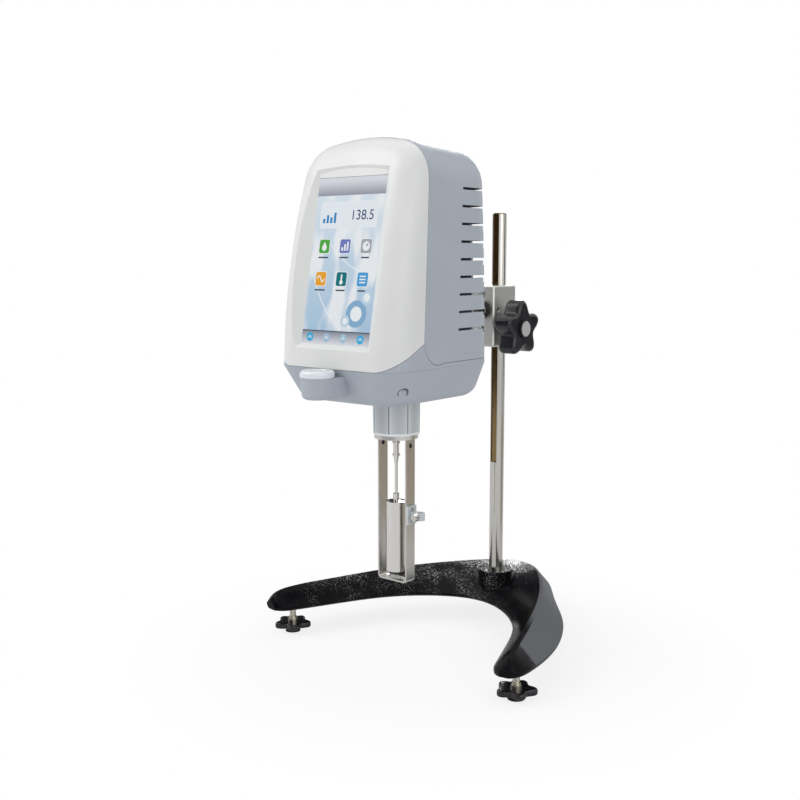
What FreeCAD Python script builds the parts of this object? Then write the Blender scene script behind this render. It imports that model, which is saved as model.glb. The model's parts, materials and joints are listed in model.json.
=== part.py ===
import FreeCAD, Part
import math
import os
import re

import Sketcher
from FreeCAD import Placement, Rotation, Vector

# Benchtop rotational rheometer: a measuring head on a clamped pole over a
# crescent base. +X is to the right, +Y to the back, +Z up, in millimetres.
# The origin lies on the bench under the middle of the whole instrument.

# Driving dimensions: alias, value, meaning
SIZES = (
    # Measuring axis and spindle
    ("spindle_y", "-58.8", "measuring axis in front of the origin"),
    ("spindle_z", "88", "bottom of the spindle above the bench"),
    ("spindle_dia", "18.84", "cylindrical spindle, diameter"),
    ("spindle_tall", "65.1", "cylindrical spindle, height"),
    ("spindle_hub_dia", "5.6", "hub on top of the spindle"),
    ("spindle_hub_tall", "7", "height of that hub"),
    ("spindle_rod_dia", "2.8", "spindle shaft"),
    ("spindle_rod_tall", "27", "spindle shaft above the hub"),
    ("coupling_cone_tall", "8", "cone under the coupling"),
    ("coupling_dia", "5.2", "body of the coupling"),
    ("coupling_flange_dia", "7", "finger flanges of the coupling"),
    ("coupling_flange_thick", "1.6", "thickness of a finger flange"),
    ("coupling_tall", "26", "coupling above its cone"),
    # Guard leg
    ("guard_width", "34", "guard leg, outer width"),
    ("guard_strap", "12", "width of the guard strap"),
    ("guard_thick", "1.5", "thickness of the guard strap"),
    ("guard_bend", "4", "outer radius of the bottom bends"),
    ("guard_z", "79", "bottom of the guard above the bench"),
    ("guard_hole_dia", "4.5", "hole in each strap"),
    ("guard_hole_drop", "6", "that hole below the ring"),
    ("guard_seat", "12", "strap length inside the ring"),
    ("guard_fit", "0.1", "corner of a strap to the ring sleeve"),
    ("rivet_dia", "3", "rivets of the guard"),
    ("rivet_gap", "0.1", "rivet ends short of the ring sleeve"),
    # Collar and ring under the head
    ("ring_z", "212", "bottom of the metal ring"),
    ("ring_tall", "4", "visible height of the ring"),
    ("ring_sleeve_tall", "20", "sleeve of the ring inside the collar"),
    ("ring_sleeve_wall", "1.3", "wall of that sleeve"),
    ("collar_flats", "42", "eight sided collar across flats at the head"),
    ("collar_foot_flats", "41.2", "collar across flats at the ring"),
    ("collar_edge", "1.5", "rounding between the collar's flats"),
    ("ring_dia", "40", "metal ring"),
    ("collar_tall", "34", "height of the collar"),
    ("collar_fit", "0.1", "sleeve to collar, radial"),
    ("collar_flange_thick", "2.5", "flange of the collar on the head floor"),
    ("collar_flange_width", "5", "width of that flange"),
    # Head form
    ("head_width", "142", "width of the head at its face"),
    ("head_rear_width", "124", "width at the rear face"),
    ("head_depth_front", "86.5", "measuring axis to the front foot of the face"),
    ("head_depth_rear", "66", "measuring axis to the rear face"),
    ("head_face_rake", "43.5", "how far the face leans back to the top"),
    ("head_face_bulge", "10", "swell of the face between foot and top"),
    ("head_rear_lean", "11", "how far the rear face leans forward"),
    ("head_rear_bulge", "2.7", "swell of the rear face"),
    ("head_lower_tall", "31", "bottom shell up to the face"),
    ("head_upper_tall", "198", "face and cover above the bottom shell"),
    ("head_top_drop", "7", "fall of the top towards the rear"),
    ("head_crown", "12", "arch of the top across the head"),
    ("head_shoulder", "34", "rounding from the sides to the top"),
    ("head_rim_step", "0.35", "how far the bottom shell stands out at its rim"),
    ("head_foot_inset", "13", "how far the bottom shell draws in"),
    ("head_foot_rear_inset", "7", "how far it draws in at the rear"),
    ("head_corner", "24", "rounding round the face"),
    ("head_rear_corner", "28", "rounding round the rear face"),
    ("head_bottom_round", "16", "rounding along the bottom"),
    ("head_wall", "3", "wall of the moulded shells"),
    ("seam", "0.4", "gap at the shell seams"),
    ("seam_y", "44.5", "seam in front of the axis, low"),
    ("seam_rake", "9", "seam's lean back over the upper height"),
    ("seam_rise", "22", "peak of the seam above the face foot"),
    ("seam_swell", "1.2", "swell of the seam as it climbs round the corner"),
    ("cover_round", "28", "rounding of the cover's low corner"),
    ("cover_foot", "4", "rear cover's lower edge above the face foot"),
    # Display
    ("display_width", "77.4", "visible width of the display"),
    ("display_tall", "139.2", "visible height of the display"),
    ("display_y", "81.5", "foot of the display in front of the axis"),
    ("display_z", "301.2", "foot of the display above the bench"),
    ("display_tilt", "10.2", "lean of the display in degrees"),
    ("display_flare", "10", "how far the recess opens at the sides"),
    ("display_sill", "9", "how far it opens below the display"),
    ("display_step", "7", "depth over which it opens"),
    ("display_brow", "8", "flat above the display"),
    ("display_arch", "3.5", "arch of the recess's top edge"),
    ("display_lap", "4", "glass behind the window edge"),
    ("glass_thick", "1.8", "touch glass"),
    ("panel_thick", "6", "display panel"),
    ("panel_gap", "0.3", "air between glass and panel"),
    ("well_wall", "5", "rim moulded round the glass"),
    ("board_gap", "8", "panel to main board"),
    ("board_thick", "1.6", "circuit boards"),
    ("board_post_dia", "6", "spacers between panel and board"),
    # Louvres
    ("louvre_count", "9", "slots on each side"),
    ("louvre_pitch", "15.1", "slot spacing"),
    ("louvre_z", "311.4", "lowest slot above the bench"),
    ("louvre_tall", "2.2", "slot height"),
    ("louvre_start", "6", "front end of the lowest slot behind the axis"),
    ("louvre_rake", "0.7", "how far each higher slot starts further back"),
    ("louvre_notch_tall", "6.4", "open corner of a slot, hanging below it"),
    ("louvre_notch_start", "47", "front end of that corner behind the axis"),
    # Level nose
    ("nose_reach", "102", "level vial in front of the axis"),
    ("nose_radius", "14.1", "round nose for the level"),
    ("nose_draft", "1.2", "how much slimmer it is at its foot"),
    ("nose_z", "257", "bottom of the nose"),
    ("nose_top", "280.6", "top of the nose"),
    ("nose_round", "4.5", "rounding under the nose"),
    ("nose_root", "34", "how far the nose reaches in behind the face"),
    ("level_cap_wide", "0.8", "cap ring beyond the nose"),
    ("level_cap_tall", "5.4", "height of the cap ring"),
    ("level_dia", "17", "round level vial"),
    ("level_tall", "8", "height of the vial"),
    ("level_fit", "0.3", "vial to its bore"),
    # Chassis and drive
    ("chassis_width", "92", "chassis plate"),
    ("chassis_front", "52", "chassis in front of the axis"),
    ("chassis_rear", "50", "chassis behind the axis"),
    ("chassis_z", "268", "underside of the chassis plate"),
    ("chassis_thick", "3", "chassis sheet"),
    ("upright_y", "27", "upright behind the axis"),
    ("upright_top", "446", "top of the upright"),
    ("upright_width", "84", "width of the upright"),
    ("rod_block_width", "28", "block that holds the mounting rod"),
    ("rod_block_front", "30", "front of that block behind the axis"),
    ("rod_block_tall", "72", "height of that block"),
    ("boss_x", "40", "housing screws from the middle"),
    ("boss_front", "49", "front housing screws from the axis"),
    ("boss_rear", "42", "rear housing screws from the axis"),
    ("boss_dia", "11", "screw bosses in the bottom shell"),
    ("screw_dia", "4", "housing screws"),
    ("screw_head_dia", "7", "heads of those screws"),
    ("screw_recess_dia", "10", "recess for a screw head"),
    ("screw_recess_floor", "6", "boss left above that recess"),
    ("tube_dia", "18", "tube that carries the pivot bearings"),
    ("tube_bore", "11", "its bore"),
    ("tube_z", "222", "its lower end"),
    ("bearing_tall", "4", "pivot bearings"),
    ("bearing_step", "26", "spacing of the bearings"),
    ("pivot_dia", "4", "pivot shaft"),
    ("pivot_fit", "0.05", "radial play of the pivot shaft"),
    ("pivot_top", "296", "top of the pivot shaft"),
    ("encoder_dia", "32", "angle disc"),
    ("encoder_thick", "1.2", "thickness of the disc"),
    ("encoder_z", "280", "height of the disc"),
    ("encoder_slots", "24", "slots in the disc"),
    ("collet_dia", "7", "collet of the hairspring"),
    ("collet_tall", "3", "height of the collet"),
    ("spring_z", "288", "height of the hairspring"),
    ("spring_dia", "26", "outer diameter of the hairspring"),
    ("spring_turns", "4", "turns of the hairspring"),
    ("spring_thick", "0.35", "strip of the hairspring"),
    ("spring_wide", "1.6", "height of that strip"),
    ("drive_dia", "36", "drive disc"),
    ("drive_thick", "3", "thickness of the drive disc"),
    ("drive_z", "294", "underside of the drive disc"),
    ("drive_hub_dia", "12", "hub of the drive disc"),
    ("drive_hub_tall", "6", "height of that hub"),
    ("stud_dia", "2", "stud from the disc to the hairspring"),
    ("motor_side", "42", "square of the motor"),
    ("motor_tall", "38", "height of the motor"),
    ("motor_z", "310", "underside of the motor"),
    ("motor_chamfer", "4", "corners of the motor"),
    ("motor_pilot_dia", "22", "pilot of the motor"),
    ("motor_shaft_dia", "5", "motor shaft"),
    ("motor_post_dia", "6", "posts under the motor plate"),
    ("motor_post_x", "26", "posts from the axis"),
    # Mounting rod, clamp and pole
    ("rod_z", "323", "mounting rod above the bench"),
    ("rod_dia", "14.5", "mounting rod"),
    ("rod_start", "32", "front end of the rod behind the axis"),
    ("rod_fit", "0.05", "radial play of the rod"),
    ("rod_ring_dia", "17", "friction ring on the rod"),
    ("rod_ring_thick", "3.5", "thickness of that ring"),
    ("throat", "160", "measuring axis to pole"),
    ("pole_dia", "14", "pole"),
    ("pole_top", "418", "top of the pole"),
    ("pole_seat", "39", "foot of the pole in the base"),
    ("pole_chamfer", "1.5", "chamfer on the pole's top"),
    ("pole_fit", "0.05", "radial play of pole in clamp and base"),
    ("channel_width", "7", "guide channel in the pole"),
    ("channel_deep", "2", "depth of the channel"),
    ("channel_foot", "167", "lower end of the channel"),
    ("spigot_dia", "8", "threaded spigot of the pole"),
    ("spigot_tall", "11.5", "length of the spigot"),
    ("block_width", "26", "clamp block across"),
    ("block_front", "27", "clamp block in front of the pole axis"),
    ("block_rear", "11", "clamp block behind the pole axis"),
    ("block_z", "286.5", "underside of the clamp block"),
    ("block_tall", "60", "height of the clamp block"),
    ("block_edge", "1.2", "chamfer of the clamp block"),
    ("slit_width", "2", "pinch slit"),
    ("slit_tall", "28", "height of the slit"),
    ("rod_socket", "16", "depth of the rod socket"),
    ("rod_end_gap", "0.4", "rod end to the socket floor"),
    ("guide_dia", "6.6", "guide pin in the channel"),
    ("guide_drop", "8", "guide pin below the block's top"),
    ("guide_gap", "0.3", "pin tip to the channel floor"),
    ("set_screw_dia", "5", "set screws for the rod"),
    ("knob_z", "305", "clamp knob above the bench"),
    ("knob_y", "12.3", "clamp screw in front of the pole axis"),
    ("knob_dia", "56", "clamp knob over its lobes"),
    ("knob_lobe", "9.5", "depth of its scallops"),
    ("knob_rest", "38", "turn of the knob at rest"),
    ("knob_lobes", "5", "lobes of knob and foot wheels"),
    ("knob_thick", "19.5", "thickness of the lobes"),
    ("knob_round", "4", "rounding of the lobes"),
    ("knob_hub_dia", "22", "hub of the knob"),
    ("knob_hub_tall", "3", "hub towards the block"),
    ("knob_gap", "4.5", "block to hub"),
    ("knob_cap_dia", "15", "cap in the knob"),
    ("knob_cap_thick", "2", "thickness of the cap"),
    ("clamp_screw_dia", "8", "clamp screw"),
    ("clamp_head_dia", "13", "head of the clamp screw"),
    ("clamp_head_tall", "5", "height of that head"),
    ("screw_fit", "0.05", "radial play of the turning screws"),
    # Base
    ("base_z", "27", "underside of the base"),
    ("fan_y", "-108.8", "centre of the crescent's stations"),
    ("base_lip", "3", "upright inner edge"),
    ("base_bulge", "0.62", "share of the rise reached half way up the slope"),
    ("base_bevel", "4", "light strip along the ridge"),
    ("base_bevel_drop", "1.6", "fall of that strip"),
    ("base_foot_round", "5", "rounding along the outer foot"),
    ("base_wall", "6", "wall of the casting"),
    ("hollow_stop", "27", "station angle where the hollow underside ends"),
    ("pole_boss_dia", "35", "boss round the pole"),
    ("pole_boss_top", "54", "top of that boss"),
    ("nut_recess_dia", "22", "recess under the pole"),
    ("nut_recess_deep", "8.5", "depth of that recess"),
    ("washer_dia", "18", "washer under the pole"),
    ("washer_thick", "1.6", "its thickness"),
    ("nut_flats", "13", "nut under the pole, across flats"),
    ("nut_tall", "6", "height of that nut"),
    ("foot_x", "135.5", "front feet from the middle"),
    ("foot_y", "-60.5", "front feet, depth"),
    ("rear_foot_y", "147", "rear foot, depth"),
    ("foot_boss_dia", "24", "bosses over the feet"),
    ("foot_bore_deep", "15", "thread depth in a boss"),
    ("foot_screw_dia", "6", "levelling screws"),
    ("foot_nut_dia", "10", "hub nut of a foot"),
    ("foot_nut_tall", "4.5", "height of that nut"),
    ("lock_nut_dia", "9", "lock nut under the base"),
    ("lock_nut_tall", "3", "height of the lock nut"),
    ("lock_nut_gap", "0.3", "lock nut to the base"),
    ("wheel_dia", "37", "foot wheel over its lobes"),
    ("wheel_lobe", "5.5", "depth of its scallops"),
    ("wheel_rest", "29", "turn of a foot wheel at rest"),
    ("wheel_thick", "6", "thickness of a foot wheel"),
    ("wheel_round", "2", "rounding of a foot wheel"),
    ("pad_dia", "15", "foot pad"),
    ("pad_tall", "4.5", "height of the pad"),
    # Probe clip
    ("clip_z", "134", "probe clip above the bench"),
    ("clip_tall", "17", "height of the clip plate"),
    ("clip_thick", "2", "thickness of the plate"),
    ("clip_arm", "9", "reach of the clip"),
    ("clip_ring_dia", "9", "ring for the probe"),
    ("clip_bore", "5", "bore for the probe"),
    ("clip_ring_tall", "7", "height of the ring"),
    ("clip_screw_dia", "3", "thumb screw of the clip"),
    ("clip_fix_dia", "2", "fixing screws of the clip"),
    ("clip_fix_inset", "2.7", "those screws from the plate's ends"),
    ("clip_fix_fit", "0.1", "radial play of those screws"),
    ("clip_head_dia", "3.6", "heads of those screws"),
    ("clip_head_tall", "1.2", "height of those heads"),
    ("thumb_dia", "6.5", "thumb screw head"),
    ("thumb_tall", "4", "height of that head"),
    ("thumb_tip_gap", "0.3", "tip of the thumb screw short of the bore"),
    # Rear fittings
    ("inlet_x", "17", "power inlet from the middle"),
    ("inlet_z", "368", "power inlet and switch, height"),
    ("inlet_width", "22", "inlet across"),
    ("inlet_tall", "27", "inlet height"),
    ("inlet_flange", "2", "flange of rear fittings"),
    ("inlet_deep", "18", "depth of the inlet"),
    ("inlet_well", "14", "depth of its socket"),
    ("rocker_width", "13", "rocker across"),
    ("rocker_tall", "19", "rocker height"),
    ("rocker_thick", "5", "rocker depth"),
    ("rocker_gap", "1", "rocker to its frame"),
    ("rocker_hinge_dia", "2", "rocker's hinge pin"),
    ("port_z", "402", "data port and probe socket, height"),
    ("pad_edge", "3", "pad beyond the flanges it carries"),
    ("pad_deep", "9", "depth of the pad"),
    ("pad_round", "5", "rounding of its corners"),
    ("port_width", "17", "data port across"),
    ("port_tall", "10", "data port height"),
    ("socket_dia", "13", "probe socket"),
    ("fitting_lap", "2", "flange beyond its cut-out"),
)

# Stations of the crescent, from the rear heel to a tip: angle round the fan
# centre, then inner edge, ridge and outer edge from that centre, ridge height.
STATIONS = (
    ("heel", 90, 179, 255, 282, 52),
    ("haunch", 75, 168.3, 214.5, 234.5, 52),
    ("shoulder", 57, 147.5, 171, 199, 51),
    ("arm", 36, 128.7, 146, 174.6, 49),
    ("wrist", 18, 126, 141.5, 160.5, 47),
    ("tip", 12, 130, 143, 156, 43),
    ("end", 9.5, 137, 144, 150.5, 36),
)

doc = FreeCAD.newDocument("rotational_rheometer")
sheet = doc.addObject("Spreadsheet::Sheet", "Sizes")


def fill_sheet():
    rows = list(SIZES)
    for name, angle, inner, ridge, outer, top in STATIONS:
        rows.append((name + "_angle", str(angle), "station angle, " + name))
        rows.append((name + "_inner", str(inner), "inner edge, " + name))
        rows.append((name + "_ridge", str(ridge), "ridge, " + name))
        rows.append((name + "_outer", str(outer), "outer edge, " + name))
        rows.append((name + "_top", str(top), "ridge height, " + name))
    for row, (alias, amount, meaning) in enumerate(rows, 1):
        sheet.set("A%d" % row, meaning)
        sheet.set("B%d" % row, amount)
        sheet.setAlias("B%d" % row, alias)
    doc.recompute()
    return {alias for alias, amount, meaning in rows}


ALIASES = fill_sheet()


def formula(words):
    """A formula over bare aliases, rewritten for the sheet."""
    def qualify(match):
        word = match.group(0)
        return "Sizes." + word if word in ALIASES else word
    return re.sub(r"[A-Za-z_]\w*", qualify, str(words))


def size(words):
    """The value of a formula as a number."""
    found = sheet.evalExpression(formula(words))
    return float(getattr(found, "Value", found))


def bind(thing, **formulas):
    for name, words in formulas.items():
        thing.setExpression(name.replace("__", "."), formula(words))
    return thing


AXIS_TURN = {
    "Z": Rotation(),
    "-Z": Rotation(Vector(1, 0, 0), 180),
    "X": Rotation(Vector(0, 1, 0), 90),
    "-X": Rotation(Vector(0, 1, 0), -90),
    "Y": Rotation(Vector(1, 0, 0), -90),
    "-Y": Rotation(Vector(1, 0, 0), 90),
}


def put(thing, spot, along="Z"):
    """Turns a piece to an axis and binds its place to three formulas."""
    thing.Placement = Placement(Vector(), AXIS_TURN[along])
    x, y, z = spot
    bind(thing, Placement__Base__x=x, Placement__Base__y=y, Placement__Base__z=z)
    return thing


def rod(label, dia, length, spot, along="Z"):
    """A cylinder by diameter, from its end face along an axis."""
    piece = doc.addObject("Part::Cylinder", label)
    bind(piece, Radius="(%s) / 2" % dia, Height=length)
    return put(piece, spot, along)


def cone(label, start_dia, end_dia, length, spot, along="Z"):
    piece = doc.addObject("Part::Cone", label)
    bind(piece, Radius1="(%s) / 2" % start_dia, Radius2="(%s) / 2" % end_dia, Height=length)
    return put(piece, spot, along)


def block(label, width, depth, height, spot):
    """A box centred across on its spot, standing on it."""
    piece = doc.addObject("Part::Box", label)
    bind(piece, Length=width, Width=depth, Height=height)
    x, y, z = spot
    return put(piece, ("%s - (%s) / 2" % (x, width), "%s - (%s) / 2" % (y, depth), z))


def join(label, *pieces):
    fused = doc.addObject("Part::MultiFuse", label)
    fused.Shapes = list(pieces)
    return fused


def carve(label, base, *tools):
    tool = tools[0] if len(tools) == 1 else join(label + "_tools", *tools)
    piece = doc.addObject("Part::Cut", label)
    piece.Base = base
    piece.Tool = tool
    return piece


def group(label, *pieces):
    """Like fasteners kept as separate solids of one sub-part."""
    bunch = doc.addObject("Part::Compound", label)
    bunch.Links = list(pieces)
    return bunch


def made(label, shape):
    """A sub-part whose form comes from section wires or a curve."""
    piece = doc.addObject("Part::Feature", label)
    piece.Shape = shape
    piece.Placement = shape.Placement
    return piece


def design_body(label, spot, turn="Z"):
    return put(doc.addObject("PartDesign::Body", label), spot, turn)


def sketch_on(body, role, name, lift="0"):
    plane = [item for item in body.Origin.OriginFeatures if item.Role == role][0]
    sketch = body.newObject("Sketcher::SketchObject", name)
    sketch.AttachmentSupport = [(plane, "")]
    sketch.MapMode = "FlatFace"
    bind(sketch, AttachmentOffset__Base__z=lift)
    return sketch


def draw_circle(sketch, dia, across="0", up="0"):
    centre = Vector(size(across), size(up), 0)
    arc = sketch.addGeometry(Part.Circle(centre, Vector(0, 0, 1), size(dia) / 2))
    for kind, words in (("DistanceX", across), ("DistanceY", up)):
        pin = sketch.addConstraint(Sketcher.Constraint(kind, -1, 1, arc, 3, size(words)))
        sketch.setExpression("Constraints[%d]" % pin, formula(words))
    pin = sketch.addConstraint(Sketcher.Constraint("Radius", arc, size(dia) / 2))
    sketch.setExpression("Constraints[%d]" % pin, formula("(%s) / 2" % dia))


def draw_outline(sketch, corners):
    """A closed outline of straight lines through corners given as formulas."""
    spots = [Vector(size(across), size(up), 0) for across, up in corners]
    count = len(spots)
    first = sketch.GeometryCount
    for index in range(count):
        sketch.addGeometry(Part.LineSegment(spots[index], spots[(index + 1) % count]))
    for index in range(count):
        follower = first + (index + 1) % count
        sketch.addConstraint(Sketcher.Constraint("Coincident", first + index, 2, follower, 1))
    for index, (across, up) in enumerate(corners):
        for kind, words in (("DistanceX", across), ("DistanceY", up)):
            pin = sketch.addConstraint(
                Sketcher.Constraint(kind, -1, 1, first + index, 1, size(words)))
            sketch.setExpression("Constraints[%d]" % pin, formula(words))


def pad(body, sketch, length, name, midplane=False, reverse=False):
    feature = body.newObject("PartDesign::Pad", name)
    feature.Profile = sketch
    feature.SideType = "Symmetric" if midplane else "One side"
    feature.Reversed = reverse
    return bind(feature, Length=length)


def pocket(body, sketch, length, name, reverse=False, midplane=False):
    feature = body.newObject("PartDesign::Pocket", name)
    feature.Profile = sketch
    feature.SideType = "Symmetric" if midplane else "One side"
    feature.Reversed = reverse
    return bind(feature, Length=length)


def lobed_disc(dia, scallop, lobes, thick, rounding):
    """A hand wheel whose rim swells into soft lobes, lying on z = 0."""
    middle = dia / 2 - scallop / 2
    steps = 8 * int(lobes)
    rim = []
    for step in range(steps):
        angle = 2 * math.pi * step / steps
        radius = middle + scallop / 2 * math.cos(lobes * angle)
        rim.append(Vector(radius * math.cos(angle), radius * math.sin(angle), 0))
    curve = Part.BSplineCurve()
    curve.interpolate(rim, PeriodicFlag=True)
    face = Part.Face(Part.Wire(curve.toShape()))
    disc = face.extrude(Vector(0, 0, thick))
    rims = [edge for edge in disc.Edges if edge.isClosed()]
    return disc.makeFillet(rounding, rims)


# Spindle, coupling and pivot: what turns with the measuring axis.
AXIS = ("0", "spindle_y")
HUB_Z = "spindle_z + spindle_tall"
ROD_Z = HUB_Z + " + spindle_hub_tall"
CONE_Z = ROD_Z + " + spindle_rod_tall"
COUPLING_Z = CONE_Z + " + coupling_cone_tall"
COUPLING_TOP = COUPLING_Z + " + coupling_tall"


def make_spindle():
    body = design_body("spindle", AXIS + ("spindle_z",))
    sketch = sketch_on(body, "XZ_Plane", "spindle_profile")
    draw_outline(sketch, (
        ("0", "0"),
        ("spindle_dia / 2", "0"),
        ("spindle_dia / 2", "spindle_tall"),
        ("spindle_hub_dia / 2", "spindle_tall + 1"),
        ("spindle_hub_dia / 2", "spindle_tall + spindle_hub_tall"),
        ("spindle_rod_dia / 2", "spindle_tall + spindle_hub_tall"),
        ("spindle_rod_dia / 2", "spindle_tall + spindle_hub_tall + spindle_rod_tall"),
        ("0", "spindle_tall + spindle_hub_tall + spindle_rod_tall"),
    ))
    turned = body.newObject("PartDesign::Revolution", "spindle_turned")
    turned.Profile = sketch
    turned.ReferenceAxis = (sketch, ["V_Axis"])
    turned.Angle = 360
    return body


def make_coupling():
    lower = "coupling_flange_thick"
    body = design_body("spindle_coupling", AXIS + (CONE_Z,))
    sketch = sketch_on(body, "XZ_Plane", "coupling_profile")
    draw_outline(sketch, (
        ("0", "0"),
        ("spindle_rod_dia / 2", "0"),
        ("coupling_dia / 2", "coupling_cone_tall"),
        ("coupling_flange_dia / 2", "coupling_cone_tall"),
        ("coupling_flange_dia / 2", "coupling_cone_tall + " + lower),
        ("coupling_dia / 2", "coupling_cone_tall + " + lower),
        ("coupling_dia / 2", "coupling_cone_tall + coupling_tall / 2 - " + lower),
        ("coupling_flange_dia / 2", "coupling_cone_tall + coupling_tall / 2 - " + lower),
        ("coupling_flange_dia / 2", "coupling_cone_tall + coupling_tall / 2"),
        ("coupling_dia / 2", "coupling_cone_tall + coupling_tall / 2"),
        ("coupling_dia / 2", "coupling_cone_tall + coupling_tall"),
        ("0", "coupling_cone_tall + coupling_tall"),
    ))
    turned = body.newObject("PartDesign::Revolution", "coupling_turned")
    turned.Profile = sketch
    turned.ReferenceAxis = (sketch, ["V_Axis"])
    turned.Angle = 360
    return body


def make_encoder_disc():
    slot_reach = "encoder_dia / 2 - 2"
    body = design_body("encoder_disc", AXIS + ("encoder_z",))
    sketch = sketch_on(body, "XY_Plane", "encoder_outline")
    draw_circle(sketch, "encoder_dia")
    draw_circle(sketch, "pivot_dia")
    pad(body, sketch, "encoder_thick", "encoder_plate")
    slot = sketch_on(body, "XY_Plane", "encoder_slot")
    draw_outline(slot, (
        (slot_reach + " - 3", "-0.6"),
        (slot_reach, "-0.6"),
        (slot_reach, "0.6"),
        (slot_reach + " - 3", "0.6"),
    ))
    cut = pocket(body, slot, "encoder_thick", "encoder_window", reverse=True)
    ring = body.newObject("PartDesign::PolarPattern", "encoder_windows")
    ring.Originals = [cut]
    ring.Axis = (slot, ["N_Axis"])
    ring.Angle = 360
    bind(ring, Occurrences="encoder_slots")
    body.Tip = ring
    return body


def make_hairspring():
    """A flat spiral strip: its outer end meets the drive disc's stud."""
    inner = size("collet_dia / 2") + 0.4
    outer = size("spring_dia / 2")
    turns = size("spring_turns")
    thick = size("spring_thick")
    steps = int(12 * turns)
    edges = []
    for side in (0, thick):
        spots = []
        for step in range(steps + 1):
            share = step / steps
            angle = 2 * math.pi * turns * share
            radius = inner + (outer - inner) * share + side
            spots.append(Vector(radius * math.cos(angle), radius * math.sin(angle), 0))
        curve = Part.BSplineCurve()
        curve.interpolate(spots)
        edges.append((curve.toShape(), spots[0], spots[-1]))
    (near, near_start, near_end), (far, far_start, far_end) = edges
    wire = Part.Wire([near, Part.LineSegment(near_end, far_end).toShape(),
                      far, Part.LineSegment(far_start, near_start).toShape()])
    strip = Part.Face(wire).extrude(Vector(0, 0, size("spring_wide")))
    strip.translate(Vector(0, size("spindle_y"), size("spring_z")))
    return made("hairspring", strip)


def make_measuring_rotor():
    pivot = rod("pivot_shaft", "pivot_dia", "pivot_top - (%s)" % COUPLING_TOP,
                AXIS + (COUPLING_TOP,))
    collet = carve("spring_collet",
                   rod("collet_body", "collet_dia", "collet_tall", AXIS + ("spring_z - 0.7",)),
                   rod("collet_bore", "pivot_dia", "collet_tall", AXIS + ("spring_z - 0.7",)))
    return [make_spindle(), make_coupling(), pivot, make_encoder_disc(), collet]


def make_drive_rotor():
    hub_top = "drive_z + drive_thick + drive_hub_tall"
    stud_reach = "spring_dia / 2 + spring_thick + stud_dia / 2"
    disc = carve("drive_disc",
                 join("drive_disc_body",
                      rod("drive_plate", "drive_dia", "drive_thick", AXIS + ("drive_z",)),
                      rod("drive_hub", "drive_hub_dia", "drive_hub_tall",
                          AXIS + ("drive_z + drive_thick",)),
                      rod("drive_stud", "stud_dia", "drive_z - spring_z",
                          (stud_reach, "spindle_y", "spring_z"))),
                 rod("drive_pivot_bore", "pivot_dia + 2 * pivot_fit",
                     "pivot_top - drive_z + 0.4", AXIS + ("drive_z",)),
                 rod("drive_shaft_bore", "motor_shaft_dia", "drive_hub_tall",
                     AXIS + ("drive_z + drive_thick",)))
    shaft = rod("motor_shaft", "motor_shaft_dia", "motor_z - 0.3 - (drive_z + drive_thick)",
                AXIS + ("drive_z + drive_thick",))
    return [disc, shaft, make_hairspring()]


# Guard leg, ring and collar
RING_TOP = "ring_z + ring_tall"
HEAD_Z = RING_TOP + " + collar_tall"
STRAP_CORNER = "sqrt((guard_width / 2)^2 + (guard_strap / 2)^2)"
SLEEVE_IN = "2 * (%s + guard_fit)" % STRAP_CORNER
SLEEVE_OUT = SLEEVE_IN + " + 2 * ring_sleeve_wall"
COLLAR_IN = SLEEVE_OUT + " + 2 * collar_fit"


def make_guard_leg():
    """A flat strap bent to a U round the spindle, with a hole near each top."""
    half = "guard_width / 2"
    top = "ring_z + guard_seat - guard_z"
    body = design_body("guard_leg", AXIS + ("guard_z",))
    sketch = sketch_on(body, "XZ_Plane", "strap_profile")
    draw_outline(sketch, (
        ("-(%s)" % half, "0"),
        (half, "0"),
        (half, top),
        ("%s - guard_thick" % half, top),
        ("%s - guard_thick" % half, "guard_thick"),
        ("guard_thick - %s" % half, "guard_thick"),
        ("guard_thick - %s" % half, top),
        ("-(%s)" % half, top),
    ))
    strap = pad(body, sketch, "guard_strap", "strap", midplane=True)
    doc.recompute()
    bends = []
    for index, edge in enumerate(strap.Shape.Edges, 1):
        box = edge.BoundBox
        upright = box.XLength < 0.01 and box.ZLength < 0.01
        if upright and box.ZMax < size("2 * guard_thick"):
            bends.append((index, abs(box.XMax) > size("%s - guard_thick / 2" % half)))
    outer = body.newObject("PartDesign::Fillet", "outer_bends")
    outer.Base = (strap, ["Edge%d" % index for index, outside in bends if outside])
    bind(outer, Radius="guard_bend")
    doc.recompute()
    inside = []
    for index, edge in enumerate(outer.Shape.Edges, 1):
        box = edge.BoundBox
        flat = box.XLength < 0.01 and box.ZLength < 0.01
        corner = abs(box.ZMax - size("guard_thick")) < 0.01
        if flat and corner and abs(box.XMax) < size("%s - guard_thick / 2" % half):
            inside.append("Edge%d" % index)
    inner = body.newObject("PartDesign::Fillet", "inner_bends")
    inner.Base = (outer, inside)
    bind(inner, Radius="guard_bend - guard_thick")
    holes = sketch_on(body, "YZ_Plane", "strap_holes")
    draw_circle(holes, "guard_hole_dia", "0", "ring_z - guard_hole_drop - guard_z")
    draw_circle(holes, "rivet_dia", "0", "ring_z + guard_seat / 2 - guard_z")
    cut = pocket(body, holes, "guard_width + 2", "strap_drilled", midplane=True)
    body.Tip = cut
    return body


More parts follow.
